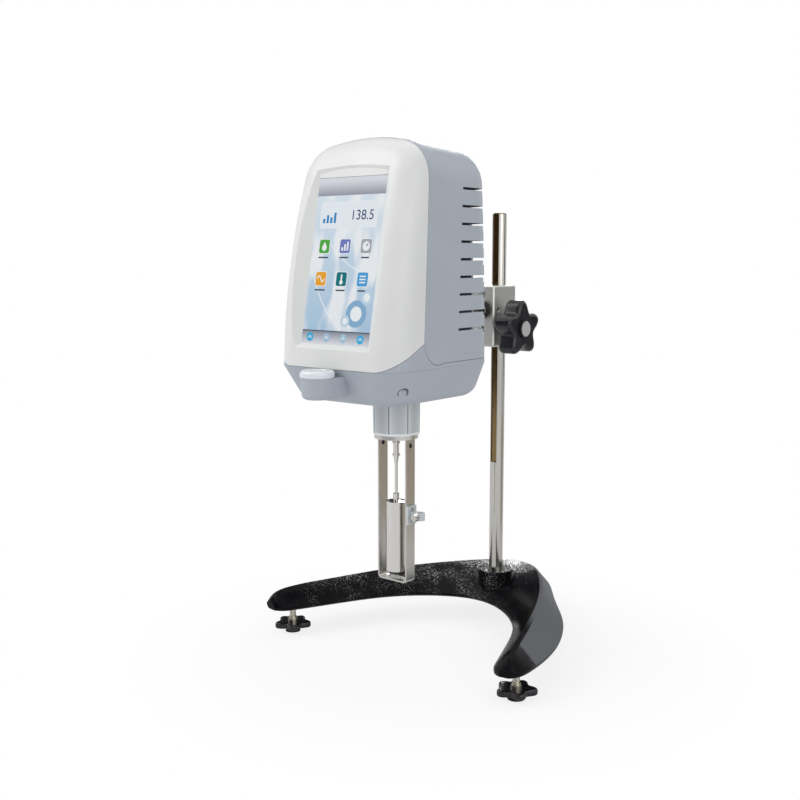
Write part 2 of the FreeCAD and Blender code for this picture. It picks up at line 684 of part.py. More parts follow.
def eight_sided_skirt():
    """The collar's flats, a little closer together at the ring."""
    wires = []
    for flats, height in (("collar_foot_flats", RING_TOP), ("collar_flats", HEAD_Z)):
        reach = size(flats) / 2 / math.cos(math.pi / 8)
        corners = []
        for index in range(8):
            angle = math.pi / 8 + index * math.pi / 4
            corners.append(Vector(reach * math.cos(angle),
                                  size("spindle_y") + reach * math.sin(angle), size(height)))
        wires.append(Part.makePolygon(corners + corners[:1]))
    skirt = Part.makeLoft(wires, True, True)
    upright = [edge for edge in skirt.Edges if edge.BoundBox.ZLength > 1]
    return skirt.makeFillet(size("collar_edge"), upright)


def make_guard():
    ring = carve("guard_ring",
                 join("ring_body",
                      rod("ring_band", "ring_dia", "ring_tall", AXIS + ("ring_z",)),
                      rod("ring_sleeve", SLEEVE_OUT, "ring_sleeve_tall", AXIS + (RING_TOP,))),
                 rod("ring_bore", SLEEVE_IN, "ring_tall + ring_sleeve_tall + 2",
                     AXIS + ("ring_z - 1",)))
    rivet_z = "ring_z + guard_seat / 2"
    rivets = []
    for side, along in (("left", "-X"), ("right", "X")):
        sign = "-" if side == "left" else ""
        start = "%s(guard_width / 2 - guard_thick - 0.8)" % sign
        reach = "sqrt((%s)^2 / 4 - rivet_dia^2 / 4)" % SLEEVE_IN
        length = "guard_thick + 0.8 + %s - rivet_gap - guard_width / 2" % reach
        rivets.append(rod("rivet_" + side, "rivet_dia", length,
                          (start, "spindle_y", rivet_z), along))
    collar = carve("collar",
                   join("collar_body",
                        made("collar_skirt", eight_sided_skirt()),
                        rod("collar_neck", "collar_flats", "head_wall", AXIS + (HEAD_Z,)),
                        rod("collar_flange", "collar_flats + 2 * collar_flange_width",
                            "collar_flange_thick", AXIS + (HEAD_Z + " + head_wall",))),
                   rod("collar_bore", COLLAR_IN, "collar_tall + head_wall + 10",
                       AXIS + (RING_TOP + " - 1",)))
    return [make_guard_leg(), ring, group("guard_rivets", *rivets), collar]


# Probe clip on the right strap
CLIP_X = "guard_width / 2"


def make_probe_clip():
    plate = block("clip_plate", "clip_thick", "guard_strap", "clip_tall",
                  (CLIP_X + " + clip_thick / 2", "spindle_y", "clip_z"))
    arm_z = "clip_z + clip_tall / 2 - clip_ring_tall / 2"
    arm = block("clip_arm", "clip_arm", "guard_strap / 2", "clip_ring_tall",
                (CLIP_X + " + clip_thick + clip_arm / 2", "spindle_y", arm_z))
    ring_x = CLIP_X + " + clip_thick + clip_arm"
    ring = rod("clip_ring", "clip_ring_dia", "clip_ring_tall", (ring_x, "spindle_y", arm_z))
    bore = rod("clip_bore_cut", "clip_bore", "clip_ring_tall + 2",
               (ring_x, "spindle_y", arm_z + " - 1"))
    thread = rod("clip_thread", "clip_screw_dia + 2 * screw_fit", "clip_ring_dia",
                 (ring_x, "spindle_y", "clip_z + clip_tall / 2"), "-Y")
    holes = []
    screws = []
    for name, height in (("low", "clip_z + clip_fix_inset"),
                         ("high", "clip_z + clip_tall - clip_fix_inset")):
        start = (CLIP_X + " - 0.1", "spindle_y", height)
        holes.append(rod("clip_hole_" + name, "clip_fix_dia + 2 * clip_fix_fit",
                         "clip_thick + 1", start, "X"))
        shank = rod("clip_shank_" + name, "clip_fix_dia", "clip_thick",
                    (CLIP_X, "spindle_y", height), "X")
        head = rod("clip_head_" + name, "clip_head_dia", "clip_head_tall",
                   (CLIP_X + " + clip_thick", "spindle_y", height), "X")
        screws.append(join("clip_screw_" + name, shank, head))
    clip = carve("probe_clip", join("clip_body", plate, arm, ring), bore, thread, *holes)
    shank_length = "clip_ring_dia / 2 - clip_bore / 2 - thumb_tip_gap + thumb_tall - 2"
    thumb = join("probe_thumb_screw",
                 rod("thumb_shank", "clip_screw_dia", shank_length,
                     (ring_x, "spindle_y - clip_bore / 2 - thumb_tip_gap",
                      "clip_z + clip_tall / 2"), "-Y"),
                 rod("thumb_head", "thumb_dia", "thumb_tall",
                     (ring_x, "spindle_y - clip_ring_dia / 2 - 0.5",
                      "clip_z + clip_tall / 2"), "-Y"))
    return [clip, group("probe_clip_screws", *screws), thumb]


# Head shells
FACE_Z = HEAD_Z + " + head_lower_tall"
TOP_Z = FACE_Z + " + head_upper_tall"


def plan_outline(front, rear, half, rear_half, corner, rear_corner):
    """Plan wire of the head: rounded corners, sides closing in to the rear."""
    corners = [(-half, front, corner), (half, front, corner),
               (rear_half, rear, rear_corner), (-rear_half, rear, rear_corner)]
    return rounded_wire([(Vector(x, y, 0), radius) for x, y, radius in corners])


def rounded_wire(corners):
    """A closed wire through corners, each with its own arc."""
    count = len(corners)
    leaves = []
    for index in range(count):
        spot, radius = corners[index]
        back = (corners[index - 1][0] - spot).normalize()
        ahead = (corners[(index + 1) % count][0] - spot).normalize()
        if radius <= 0:
            leaves.append((spot, None, spot))
            continue
        half_angle = back.getAngle(ahead) / 2
        reach = radius / math.tan(half_angle)
        bisector = (back + ahead).normalize()
        centre = spot + bisector * (radius / math.sin(half_angle))
        leaves.append((spot + back * reach, centre - bisector * radius, spot + ahead * reach))
    edges = []
    for index in range(count):
        enter, middle, leave = leaves[index]
        if middle is not None:
            edges.append(Part.Arc(enter, middle, leave).toShape())
        edges.append(Part.LineSegment(leave, leaves[(index + 1) % count][0]).toShape())
    return Part.Wire(edges)


def edge_spots(edge):
    """The ends and the middle of an edge."""
    start, end = edge.FirstParameter, edge.LastParameter
    return [edge.valueAt(start + share * (end - start)) for share in (0, 0.5, 1)]


def rim_edges(solid, height):
    """Edges that lie at one height."""
    return [edge for edge in solid.Edges
            if all(abs(spot.z - height) < 0.05 for spot in edge_spots(edge))]


def swollen_arc(foot_y, foot_z, tall, lean, bulge):
    """Side view of an end face: from its foot to its top, swelling outwards."""
    foot = Vector(0, foot_y, foot_z)
    top = Vector(0, foot_y + lean, foot_z + tall)
    return Part.Arc(foot, (foot + top) / 2 + Vector(0, bulge, 0), top)


def rim_on(solid, arc, foot_z):
    """Edges on the swept surface of an arc, without the one along its foot."""
    circle = arc.toShape().Curve
    found = []
    for edge in solid.Edges:
        spots = edge_spots(edge)
        off = [abs(Vector(0, spot.y, spot.z).distanceToPoint(circle.Center) - circle.Radius)
               for spot in spots]
        if max(off) < 0.02 and max(spot.z for spot in spots) > foot_z + 1:
            found.append(edge)
    return found


def arched_wire(half, y, foot_z, tall, crown):
    """Front view of the head at one depth: straight sides under a low arch."""
    low_left = Vector(-half, y, foot_z)
    low_right = Vector(half, y, foot_z)
    high_right = Vector(half, y, foot_z + tall - crown)
    high_left = Vector(-half, y, foot_z + tall - crown)
    return Part.Wire([
        Part.LineSegment(low_left, low_right).toShape(),
        Part.LineSegment(low_right, high_right).toShape(),
        Part.Arc(high_right, Vector(0, y, foot_z + tall), high_left).toShape(),
        Part.LineSegment(high_left, low_left).toShape(),
    ])


def side_view(front_arc, rear_arc, width):
    """The side view between two end faces, swept across the head."""
    front, rear = front_arc.toShape(), rear_arc.toShape()
    top = Part.LineSegment(front_arc.EndPoint, rear_arc.EndPoint).toShape()
    foot = Part.LineSegment(front_arc.StartPoint, rear_arc.StartPoint).toShape()
    face = Part.Face(Part.Wire(Part.__sortEdges__([front, top, rear, foot])))
    face.translate(Vector(-width, 0, 0))
    return face.extrude(Vector(2 * width, 0, 0))


def head_form(inset):
    """The head's outer form, or its inner one when inset by a wall."""
    axis_y = size("spindle_y")
    half = size("head_width / 2") - inset
    rear_half = size("head_rear_width / 2") - inset
    front = axis_y - size("head_depth_front") + inset
    rear = axis_y + size("head_depth_rear") - inset
    corner = size("head_corner") - inset
    rear_corner = size("head_rear_corner") - inset
    bottom = size(HEAD_Z) + inset
    face = size(FACE_Z)
    tall = size("head_upper_tall") - inset
    drop = size("head_top_drop")
    crown = size("head_crown")
    front_arc = swollen_arc(front, face, tall + drop, size("head_face_rake"),
                            -size("head_face_bulge"))
    rear_arc = swollen_arc(rear, face, tall + drop, -size("head_rear_lean"),
                           size("head_rear_bulge"))
    loaf = Part.makeLoft([arched_wire(half, front - drop, face, tall, crown),
                          arched_wire(rear_half, rear + drop, face, tall - drop, crown)],
                         True, True)
    shoulders = [edge for edge in loaf.Edges
                 if edge.BoundBox.YLength > size("head_depth_rear")
                 and edge.BoundBox.ZMin > face + tall / 2]
    loaf = loaf.makeFillet(size("head_shoulder") - inset, shoulders)
    upper = loaf.common(side_view(front_arc, rear_arc, half + 1))
    upper = upper.makeFillet(corner, rim_on(upper, front_arc, face))
    upper = upper.makeFillet(rear_corner, rim_on(upper, rear_arc, face))
    pull = size("head_foot_inset")
    lip = size("head_rim_step")
    rim = plan_outline(front - lip, rear + lip, half + lip, rear_half + lip,
                       corner, rear_corner)
    rim.translate(Vector(0, 0, face))
    rear_pull = size("head_foot_rear_inset")
    foot = plan_outline(front + pull, rear - rear_pull, half - pull, rear_half - rear_pull,
                        corner, rear_corner)
    foot.translate(Vector(0, 0, bottom))
    lower = Part.makeLoft([foot, rim], True, True)
    lower = lower.makeFillet(size("head_bottom_round") - inset, rim_edges(lower, bottom))
    return upper.fuse(lower).removeSplitter()


def side_prism(points):
    """A profile given as (y, z) corners, extruded across the whole head."""
    reach = size("head_width")
    spots = [Vector(-reach, y, z) for y, z in points]
    face = Part.Face(Part.makePolygon(spots + spots[:1]))
    return face.extrude(Vector(2 * reach, 0, 0))


def seam_profile():
    """Side view of the face's lower edge: it climbs round the corner to a peak."""
    axis_y = size("spindle_y")
    start = Vector(0, axis_y - size("head_depth_front") + 0.5, size(FACE_Z))
    peak = Vector(0, axis_y - size("seam_y"), size(FACE_Z) + size("seam_rise"))
    bend = (start + peak) / 2 + Vector(0, 0, size("seam_swell"))
    arc = Part.Arc(start, bend, peak)
    return [(spot.y, spot.z) for spot in arc.toShape().discretize(9)]


def cover_profile():
    """Side view of the rear cover's lower edge behind the seam's peak."""
    axis_y = size("spindle_y")
    foot = size(FACE_Z) + size("cover_foot")
    round_by = size("cover_round")
    peak_y = axis_y - size("seam_y")
    peak_z = size(FACE_Z) + size("seam_rise")
    bend = Vector(0, peak_y + round_by * 0.24, foot + (peak_z - foot) * 0.24)
    arc = Part.Arc(Vector(0, peak_y, peak_z), bend, Vector(0, peak_y + round_by, foot))
    return [(spot.y, spot.z) for spot in arc.toShape().discretize(9)]


def make_shell_zones():
    """Three zones that split the head into face, cover and bottom shell."""
    axis_y = size("spindle_y")
    gap = size("seam") / 2
    far_front = axis_y - size("head_depth_front") - 60
    far_rear = axis_y + size("head_depth_rear") + 40
    low = size(HEAD_Z) - 20
    high = size(TOP_Z) + 20
    rise = size("head_upper_tall")
    face_side = seam_profile()
    cover_side = cover_profile()
    peak_y, peak_z = face_side[-1]
    lean = size("seam_rake") * (high - peak_z) / rise
    front = [(y - gap, z + gap) for y, z in face_side]
    front = [(far_front, front[0][1])] + front
    front += [(peak_y + lean - gap, high), (far_front, high)]
    rear = [(y + gap, z + gap) for y, z in cover_side]
    rear = rear + [(far_rear, rear[-1][1]), (far_rear, high), (peak_y + lean + gap, high)]
    bottom = [(y, z - gap) for y, z in face_side[:-1]] + [(peak_y, peak_z - gap)]
    bottom += [(y, z - gap) for y, z in cover_side[1:]]
    bottom = [(far_front, bottom[0][1])] + bottom
    bottom += [(far_rear, bottom[-1][1]), (far_rear, low), (far_front, low)]
    return side_prism(front), side_prism(rear), side_prism(bottom)


def leaned(shape):
    """Carries a shape from the display's own frame to its leaning place."""
    shape.rotate(Vector(), Vector(1, 0, 0), -size("display_tilt"))
    shape.translate(Vector(0, size("spindle_y - display_y"), size("display_z")))
    return shape


def display_slab(width, tall, depth, lift, inward):
    """A slab in the display's plane, centred on the window."""
    middle = size("display_tall") / 2
    slab = Part.makeBox(width, depth, tall, Vector(-width / 2, inward, middle - tall / 2 + lift))
    return leaned(slab)


def recess_wire(depth, flare, low):
    """Outline of the display's recess at one depth, with an arched top edge."""
    half = size("display_width") / 2 + flare
    tall = size("display_tall + display_brow") + flare
    low_left, low_right = Vector(-half, depth, low), Vector(half, depth, low)
    high_left, high_right = Vector(-half, depth, tall), Vector(half, depth, tall)
    crown = Vector(0, depth, tall + size("display_arch"))
    return Part.Wire([
        Part.LineSegment(low_left, low_right).toShape(),
        Part.LineSegment(low_right, high_right).toShape(),
        Part.Arc(high_right, crown, high_left).toShape(),
        Part.LineSegment(high_left, low_left).toShape(),
    ])


def display_recess():
    """The recess round the display, whose walls flare out to the front."""
    steps = 3
    mouth = recess_wire(-steps * size("display_step"), steps * size("display_flare"),
                        -steps * size("display_sill"))
    return leaned(Part.makeLoft([recess_wire(0, 0, 0), mouth], True, True))


def make_front_bezel(outer, inner, zone):
    lap = size("display_lap")
    glass_wide = size("display_width") + 2 * lap
    glass_tall = size("display_tall") + 2 * lap
    rim = size("well_wall")
    depth = size("glass_thick + panel_gap + panel_thick")
    shell = outer.cut(inner).common(zone)
    brow = size("display_brow + display_arch")
    well = display_slab(glass_wide + 2 * rim, glass_tall + 2 * rim + brow, depth + 12,
                        brow / 2, -12)
    well = well.common(outer).common(zone)
    bezel = shell.fuse(well)
    pocket_cut = display_slab(glass_wide + 0.6, glass_tall + 0.6, depth + 8, 0, 0)
    bezel = bezel.cut(display_recess()).cut(pocket_cut)
    return made("front_bezel", bezel.removeSplitter())


def rear_cut_outs():
    """Holes in the rear cover for the rod and the fittings."""
    y_start = size("spindle_y + head_depth_rear") - 12
    cuts = [Part.makeCylinder(size("rod_dia") / 2 + 0.5, 30,
                              Vector(0, y_start, size("rod_z")), Vector(0, 1, 0))]
    for x, z, wide, tall in (
            ("inlet_x", "inlet_z", "inlet_width", "inlet_tall"),
            ("-inlet_x", "inlet_z", "rocker_width + 4", "rocker_tall + 4"),
            ("inlet_x", "port_z", "port_width", "port_tall")):
        w = size(wide) + 0.4
        t = size(tall) + 0.4
        corner = Vector(size(x) - w / 2, y_start, size(z) - t / 2)
        cuts.append(Part.makeBox(w, 30, t, corner))
    cuts.append(Part.makeCylinder(size("socket_dia") / 2 + 0.2, 30,
                                  Vector(-size("inlet_x"), y_start, size("port_z")),
                                  Vector(0, 1, 0)))
    return cuts


def louvre_cuts():
    """Side slots that wrap the rear corners, each with a taller open corner."""
    axis_y = size("spindle_y")
    half = size("head_width") / 2
    inner_x = size("head_rear_width / 2 - head_rear_corner") + 4
    start = axis_y + size("louvre_start")
    notch = axis_y + size("louvre_notch_start")
    end = axis_y + size("head_depth_rear") + 5
    tall = size("louvre_tall")
    notch_tall = size("louvre_notch_tall")
    cuts = []
    for index in range(int(size("louvre_count"))):
        z = size("louvre_z") + index * size("louvre_pitch")
        front = start + index * size("louvre_rake")
        for side in (-1, 1):
            near = inner_x if side > 0 else -half - 5
            cuts.append(Part.makeBox(half + 5 - inner_x, end - front, tall,
                                     Vector(near, front, z)))
            cuts.append(Part.makeBox(half + 5 - inner_x, end - notch, notch_tall,
                                     Vector(near, notch, z + tall - notch_tall)))
    return cuts


def fitting_pad():
    """Flat raised pad on the leaning rear, which carries the inlet and sockets."""
    edge = size("fitting_lap + pad_edge")
    half = size("inlet_x + inlet_width / 2") + edge
    low = size("inlet_z - inlet_tall / 2") - edge
    high = size("port_z + socket_dia / 2") + edge
    rear = size("spindle_y + head_depth_rear")
    deep = size("pad_deep")
    pad = Part.makeBox(2 * half, deep, high - low, Vector(-half, rear - deep, low))
    corners = [edge for edge in pad.Edges if edge.BoundBox.YLength > deep - 0.01]
    return pad.makeFillet(size("pad_round"), corners)


def make_rear_cover(outer, inner, zone):
    cover = outer.cut(inner).common(zone).fuse(fitting_pad().cut(inner))
    cover = cover.cut(louvre_cuts()).cut(rear_cut_outs())
    return made("rear_cover", cover.removeSplitter())


def screw_spots():
    """Plan places of the four housing screws, as formulas."""
    return [("%sboss_x" % sign, y) for sign in ("-", "")
            for y in ("spindle_y - boss_front", "spindle_y + boss_rear")]


def nose_outline(radius, z):
    """Plan of the nose at one height: a half round on two straight sides."""
    y = size("spindle_y - nose_reach")
    back = size("spindle_y - head_depth_front + nose_root")
    left, right = Vector(-radius, y, z), Vector(radius, y, z)
    back_right, back_left = Vector(radius, back, z), Vector(-radius, back, z)
    return Part.Wire([
        Part.Arc(left, Vector(0, y - radius, z), right).toShape(),
        Part.LineSegment(right, back_right).toShape(),
        Part.LineSegment(back_right, back_left).toShape(),
        Part.LineSegment(back_left, left).toShape(),
    ])


def make_lower_housing(outer, inner, zone):
    axis_y = size("spindle_y")
    radius = size("nose_radius")
    low = size("nose_z")
    seat = size("nose_top - level_cap_tall")
    nose = Vector(0, axis_y - size("nose_reach"), seat)
    shell = outer.cut(inner).common(zone)
    block_body = Part.makeLoft([nose_outline(radius - size("nose_draft"), low),
                                nose_outline(radius, seat)], True, True)
    foot_edges = [edge for edge in rim_edges(block_body, low)
                  if edge.BoundBox.YMin < nose.y + 0.01]
    block_body = block_body.makeFillet(size("nose_round"), foot_edges)
    vial_room = size("level_dia / 2 + level_fit")
    holder = Part.makeCylinder(vial_room + 1.5, size("level_cap_tall"), nose)
    nose_solid = block_body.fuse(holder).cut(inner)
    posts = []
    holes = [Part.makeCylinder(size("collar_flats") / 2 + 0.1, 20,
                               Vector(0, axis_y, size(HEAD_Z) - 5))]
    floor = size("chassis_z")
    for x_words, y_words in screw_spots():
        spot = Vector(size(x_words), size(y_words), size(HEAD_Z))
        posts.append(Part.makeCylinder(size("boss_dia") / 2, floor - spot.z, spot))
        holes.append(Part.makeCylinder(size("screw_dia") / 2 + 0.1, 60, spot))
        holes.append(Part.makeCylinder(size("screw_recess_dia") / 2,
                                       floor - size("screw_recess_floor") - spot.z + 10,
                                       spot - Vector(0, 0, 10)))
    for post in posts:
        shell = shell.fuse(post.common(outer))
    shell = shell.fuse(nose_solid)
    level_seat = size("nose_top - level_tall")
    holes.append(Part.makeCylinder(vial_room, 30, Vector(0, nose.y, level_seat)))
    return made("lower_housing", shell.cut(holes).removeSplitter())


def make_level():
    """Round level in the nose, with its cap ring."""
    spot = ("0", "spindle_y - nose_reach")
    top = "nose_top"
    vial = rod("level_vial", "level_dia", "level_tall - 1.2",
               spot + ("%s - level_tall" % top,))
    ring = carve("level_cap",
                 rod("cap_body", "2 * (nose_radius + level_cap_wide)", "level_cap_tall + 1",
                     spot + ("%s - level_cap_tall" % top,)),
                 rod("cap_bore", "level_dia + 2 * level_fit + 3", "level_cap_tall",
                     spot + ("%s - level_cap_tall" % top,)),
                 rod("cap_window", "level_dia - 2", "level_cap_tall + 3",
                     spot + ("%s - level_cap_tall - 1" % top,)))
    return [vial, ring]


def make_housing_screws():
    seat = "chassis_z - screw_recess_floor"
    screws = []
    for index, (x, y) in enumerate(screw_spots()):
        shank = rod("screw_shank_%d" % index, "screw_dia",
                    "screw_recess_floor + chassis_thick", (x, y, seat))
        head = rod("screw_head_%d" % index, "screw_head_dia", "3", (x, y, seat + " - 3"))
        screws.append(join("screw_%d" % index, shank, head))
    return group("housing_screws", *screws)


# Display, boards and chassis
def make_display():
    lap = size("display_lap")
    wide = size("display_width") + 2 * lap
    tall = size("display_tall") + 2 * lap
    glass = size("glass_thick")
    gap = size("panel_gap")
    panel = size("panel_thick")
    board_at = glass + gap + panel + size("board_gap")
    pieces = [
        made("display_glass", display_slab(wide, tall, glass, 0, 0)),
        made("display_panel", display_slab(wide, tall, panel, 0, glass + gap)),
    ]
    board = display_slab(wide + 6, tall - 20, size("board_thick"), 0, board_at)
    parts_on = []
    for x, z, w, t, d in ((-20, 30, 18, 18, 2.5), (14, 34, 24, 12, 3), (-24, -6, 12, 22, 4),
                          (18, -12, 14, 14, 2), (24, -46, 20, 12, 8), (-16, -48, 30, 9, 6)):
        chip = Part.makeBox(w, d, t, Vector(x - w / 2, board_at + size("board_thick"),
                                            size("display_tall") / 2 + z - t / 2))
        parts_on.append(leaned(chip))
    posts = []
    for x in (-1, 1):
        for z in (-1, 1):
            spot = Vector(x * (wide / 2 - 5), glass + gap + panel,
                          size("display_tall") / 2 + z * (tall / 2 - 20))
            post = Part.makeCylinder(size("board_post_dia") / 2, size("board_gap"), spot,
                                     Vector(0, 1, 0))
            posts.append(leaned(post))
    pieces.append(made("main_board", board.fuse(parts_on + posts).removeSplitter()))
    return pieces


def make_chassis():
    plate_deep = "chassis_front + chassis_rear"
    plate_y = "spindle_y + (chassis_rear - chassis_front) / 2"
    floor = "chassis_z + chassis_thick"
    plate = block("chassis_plate", "chassis_width", plate_deep, "chassis_thick",
                  ("0", plate_y, "chassis_z"))
    upright = block("chassis_upright", "upright_width", "chassis_thick",
                    "upright_top - (%s)" % floor,
                    ("0", "spindle_y + upright_y + chassis_thick / 2", floor))
    rod_block_deep = "chassis_rear - rod_block_front"
    holder = block("rod_block", "rod_block_width", rod_block_deep, "rod_block_tall",
                   ("0", "spindle_y + rod_block_front + (%s) / 2" % rod_block_deep, floor))
    tube = rod("chassis_bush", "tube_dia + 6", "4", AXIS + (floor,))
    cuts = [
        rod("rod_bore", "rod_dia", "60", ("0", "spindle_y + rod_start", "rod_z"), "Y"),
        rod("tube_hole", "tube_dia", "20", AXIS + ("chassis_z - 5",)),
    ]
    for index, (x, y) in enumerate(screw_spots()):
        cuts.append(rod("chassis_thread_%d" % index, "screw_dia", "20", (x, y, "chassis_z - 5")))
    return carve("chassis", join("chassis_body", plate, upright, holder, tube), *cuts)


def make_pivot_mount():
    tube_top = "chassis_z + chassis_thick + 4"
    tube = carve("bearing_tube",
                 rod("tube_body", "tube_dia", tube_top + " - tube_z", AXIS + ("tube_z",)),
                 rod("tube_bore_cut", "tube_bore", "80", AXIS + ("tube_z - 5",)))
    rings = []
    for index in range(2):
        z = "tube_z + 4 + %d * bearing_step" % index
        rings.append(carve("bearing_%d" % index,
                           rod("race_%d" % index, "tube_bore", "bearing_tall", AXIS + (z,)),
                           rod("race_bore_%d" % index, "pivot_dia + 2 * pivot_fit",
                               "bearing_tall", AXIS + (z,))))
    return [tube, group("pivot_bearings", *rings)]


def make_motor():
    side = size("motor_side")
    cut = size("motor_chamfer")
    corners = []
    for x, y in ((-1, -1), (1, -1), (1, 1), (-1, 1)):
        first = Vector(x * (side / 2 - cut), y * side / 2, 0)
        second = Vector(x * side / 2, y * (side / 2 - cut), 0)
        corners += [first, second] if x * y < 0 else [second, first]
    body = Part.Face(Part.makePolygon(corners + corners[:1])).extrude(
        Vector(0, 0, size("motor_tall")))
    body.translate(Vector(0, size("spindle_y"), size("motor_z")))
    waist = "motor_side + 2"
    grooves = block("motor_waist", waist, waist, "motor_tall / 2",
                    AXIS + ("motor_z + motor_tall / 4",))
    core = block("motor_core", "motor_side - 1.6", "motor_side - 1.6", "motor_tall / 2",
                 AXIS + ("motor_z + motor_tall / 4",))
    ring = carve("motor_relief", grooves, core)
    motor = carve("drive_motor", made("motor_can", body), ring)
    plate_z = "motor_z - chassis_thick"
    plate = block("motor_plate_sheet", "2 * motor_post_x + motor_post_dia + 2",
                  "motor_side", "chassis_thick", AXIS + (plate_z,))
    posts = []
    for x in ("-motor_post_x", "motor_post_x"):
        for y in ("spindle_y - 14", "spindle_y + 14"):
            posts.append(rod("post", "motor_post_dia",
                             "%s - chassis_z - chassis_thick" % plate_z,
                             (x, y, "chassis_z + chassis_thick")))
    mount = carve("motor_plate", join("motor_plate_body", plate, *posts),
                  rod("pilot_hole", "motor_pilot_dia", "20", AXIS + (plate_z + " - 5",)))
    return [motor, mount]


def make_sensor_board():
    edge_x = "encoder_dia / 2"
    board = block("sensor_card", "10", "16", "board_thick",
                  ("-%s - 4" % edge_x, "spindle_y", "encoder_z - 4"))
    fork = carve("sensor_fork",
                 block("fork_body", "8", "8", "8",
                       ("-%s - 3" % edge_x, "spindle_y", "encoder_z - 4 + board_thick")),
                 block("fork_gap", "6.5", "10", "encoder_thick + 1.6",
                       ("-%s - 0.5" % edge_x, "spindle_y", "encoder_z - 0.8")))
    posts = [rod("sensor_post_%d" % index, "3", "encoder_z - 4 - chassis_z - chassis_thick",
                 ("-%s - 6.5" % edge_x, "spindle_y %s 5" % sign, "chassis_z + chassis_thick"))
             for index, sign in enumerate(("-", "+"))]
    return join("sensor_board", board, fork, *posts)


def make_power_supply():
    back = "spindle_y + upright_y + chassis_thick"
    card_y = back + " + 3 + board_thick / 2"
    card = block("supply_card", "70", "board_thick", "64", ("0", card_y, "352"))
    posts = [block("supply_post_%d" % index, "5", "3", "5",
                   (x, back + " + 1.5", z))
             for index, (x, z) in enumerate((("-30", "356"), ("30", "356"),
                                             ("-30", "406"), ("30", "406")))]
    parts_on = [
        block("supply_coil", "20", "9", "18", ("-20", back + " + 3 + board_thick + 4.5", "386")),
        block("supply_cans", "16", "9", "12", ("22", back + " + 3 + board_thick + 4.5", "356")),
    ]
    return join("power_supply", card, *(posts + parts_on))


# Rear fittings, set into the rear cover
REAR_Y = "spindle_y + head_depth_rear"


def rear_fitting(label, x, z, width, tall, deep):
    """A flange outside the rear face with a body through its cut-out."""
    flange = block(label + "_flange", "%s + 2 * fitting_lap" % width, "inlet_flange",
                   "%s + 2 * fitting_lap" % tall,
                   (x, REAR_Y + " + inlet_flange / 2", "%s - (%s) / 2 - fitting_lap" % (z, tall)))
    body = block(label + "_body", width, deep, tall,
                 (x, REAR_Y + " - (%s) / 2" % deep, "%s - (%s) / 2" % (z, tall)))
    return flange, body


def make_rear_fittings():
    flange, body = rear_fitting("inlet", "inlet_x", "inlet_z", "inlet_width",
                                "inlet_tall", "inlet_deep")
    well = block("inlet_socket", "inlet_width - 4", "inlet_well + inlet_flange",
                 "inlet_tall - 9",
                 ("inlet_x", REAR_Y + " + inlet_flange - (inlet_well + inlet_flange) / 2",
                  "inlet_z - inlet_tall / 2 + 4.5"))
    blades = [block("inlet_blade_%d" % index, "1.6", "9", "4",
                    (x, REAR_Y + " - inlet_well + 4.5", z))
              for index, (x, z) in enumerate((("inlet_x - 5", "inlet_z - 5"),
                                              ("inlet_x + 5", "inlet_z - 5"),
                                              ("inlet_x", "inlet_z + 2")))]
    inlet = join("power_inlet", carve("inlet_shell", join("inlet_block", flange, body), well),
                 *blades)
    rocker_x = "-inlet_x"
    frame_flange, frame_body = rear_fitting("switch", rocker_x, "inlet_z", "rocker_width + 4",
                                            "rocker_tall + 4", "12")
    opening = block("switch_opening", "rocker_width + 2 * rocker_gap", "12",
                    "rocker_tall + 2 * rocker_gap",
                    (rocker_x, REAR_Y + " + inlet_flange - 6",
                     "inlet_z - rocker_tall / 2 - rocker_gap"))
    pin_length = "rocker_width + 2 * rocker_gap + 2"
    pin_y = REAR_Y + " - 2.5"
    pin_hole = rod("switch_pin_hole", "rocker_hinge_dia + 0.1", pin_length,
                   (rocker_x + " - (%s) / 2" % pin_length, pin_y, "inlet_z"), "X")
    frame = carve("switch_frame", join("switch_block", frame_flange, frame_body),
                  opening, pin_hole)
    rocker = rocker_body(rocker_x, pin_y, pin_length)
    port_flange, port_body = rear_fitting("port", "inlet_x", "port_z", "port_width",
                                          "port_tall", "10")
    port_well = block("port_well", "port_width - 4", "8", "port_tall - 4",
                      ("inlet_x", REAR_Y + " + inlet_flange - 4", "port_z - port_tall / 2 + 2"))
    port = carve("data_port", join("port_block", port_flange, port_body), port_well)
    socket = carve("probe_socket",
                   join("socket_block",
                        rod("socket_flange", "socket_dia + 4", "inlet_flange",
                            ("-inlet_x", REAR_Y, "port_z"), "Y"),
                        rod("socket_body", "socket_dia", "12",
                            ("-inlet_x", REAR_Y + " - 12", "port_z"), "Y")),
                   rod("socket_well", "socket_dia - 4", "9",
                       ("-inlet_x", REAR_Y + " + inlet_flange - 8", "port_z"), "Y"))
    return [inlet, frame, rocker, port, socket]


def rocker_body(rocker_x, pin_y, pin_length):
    """A rocker with two faces that meet at a shallow ridge over its pin."""
    half = size("rocker_tall") / 2
    thick = size("rocker_thick")
    face_y = size(REAR_Y) + 1.5
    y_back = face_y - thick
    z = size("inlet_z")
    profile = [Vector(0, y_back, z - half), Vector(0, face_y + 1, z - half),
               Vector(0, face_y - 0.6, z), Vector(0, face_y, z + half - 1),
               Vector(0, y_back, z + half - 1)]
    face = Part.Face(Part.makePolygon(profile + profile[:1]))
    solid = face.extrude(Vector(size("rocker_width"), 0, 0))
    solid.translate(Vector(size(rocker_x) - size("rocker_width") / 2, 0, 0))
    pin = rod("rocker_pin", "rocker_hinge_dia", pin_length + " - 0.4",
              (rocker_x + " - (%s) / 2 + 0.2" % pin_length, pin_y, "inlet_z"), "X")
    return join("switch_rocker", made("rocker_key", solid), pin)


# Mounting rod, clamp and knob
POLE_Y = "spindle_y + throat"
BLOCK_FRONT = POLE_Y + " - block_front"


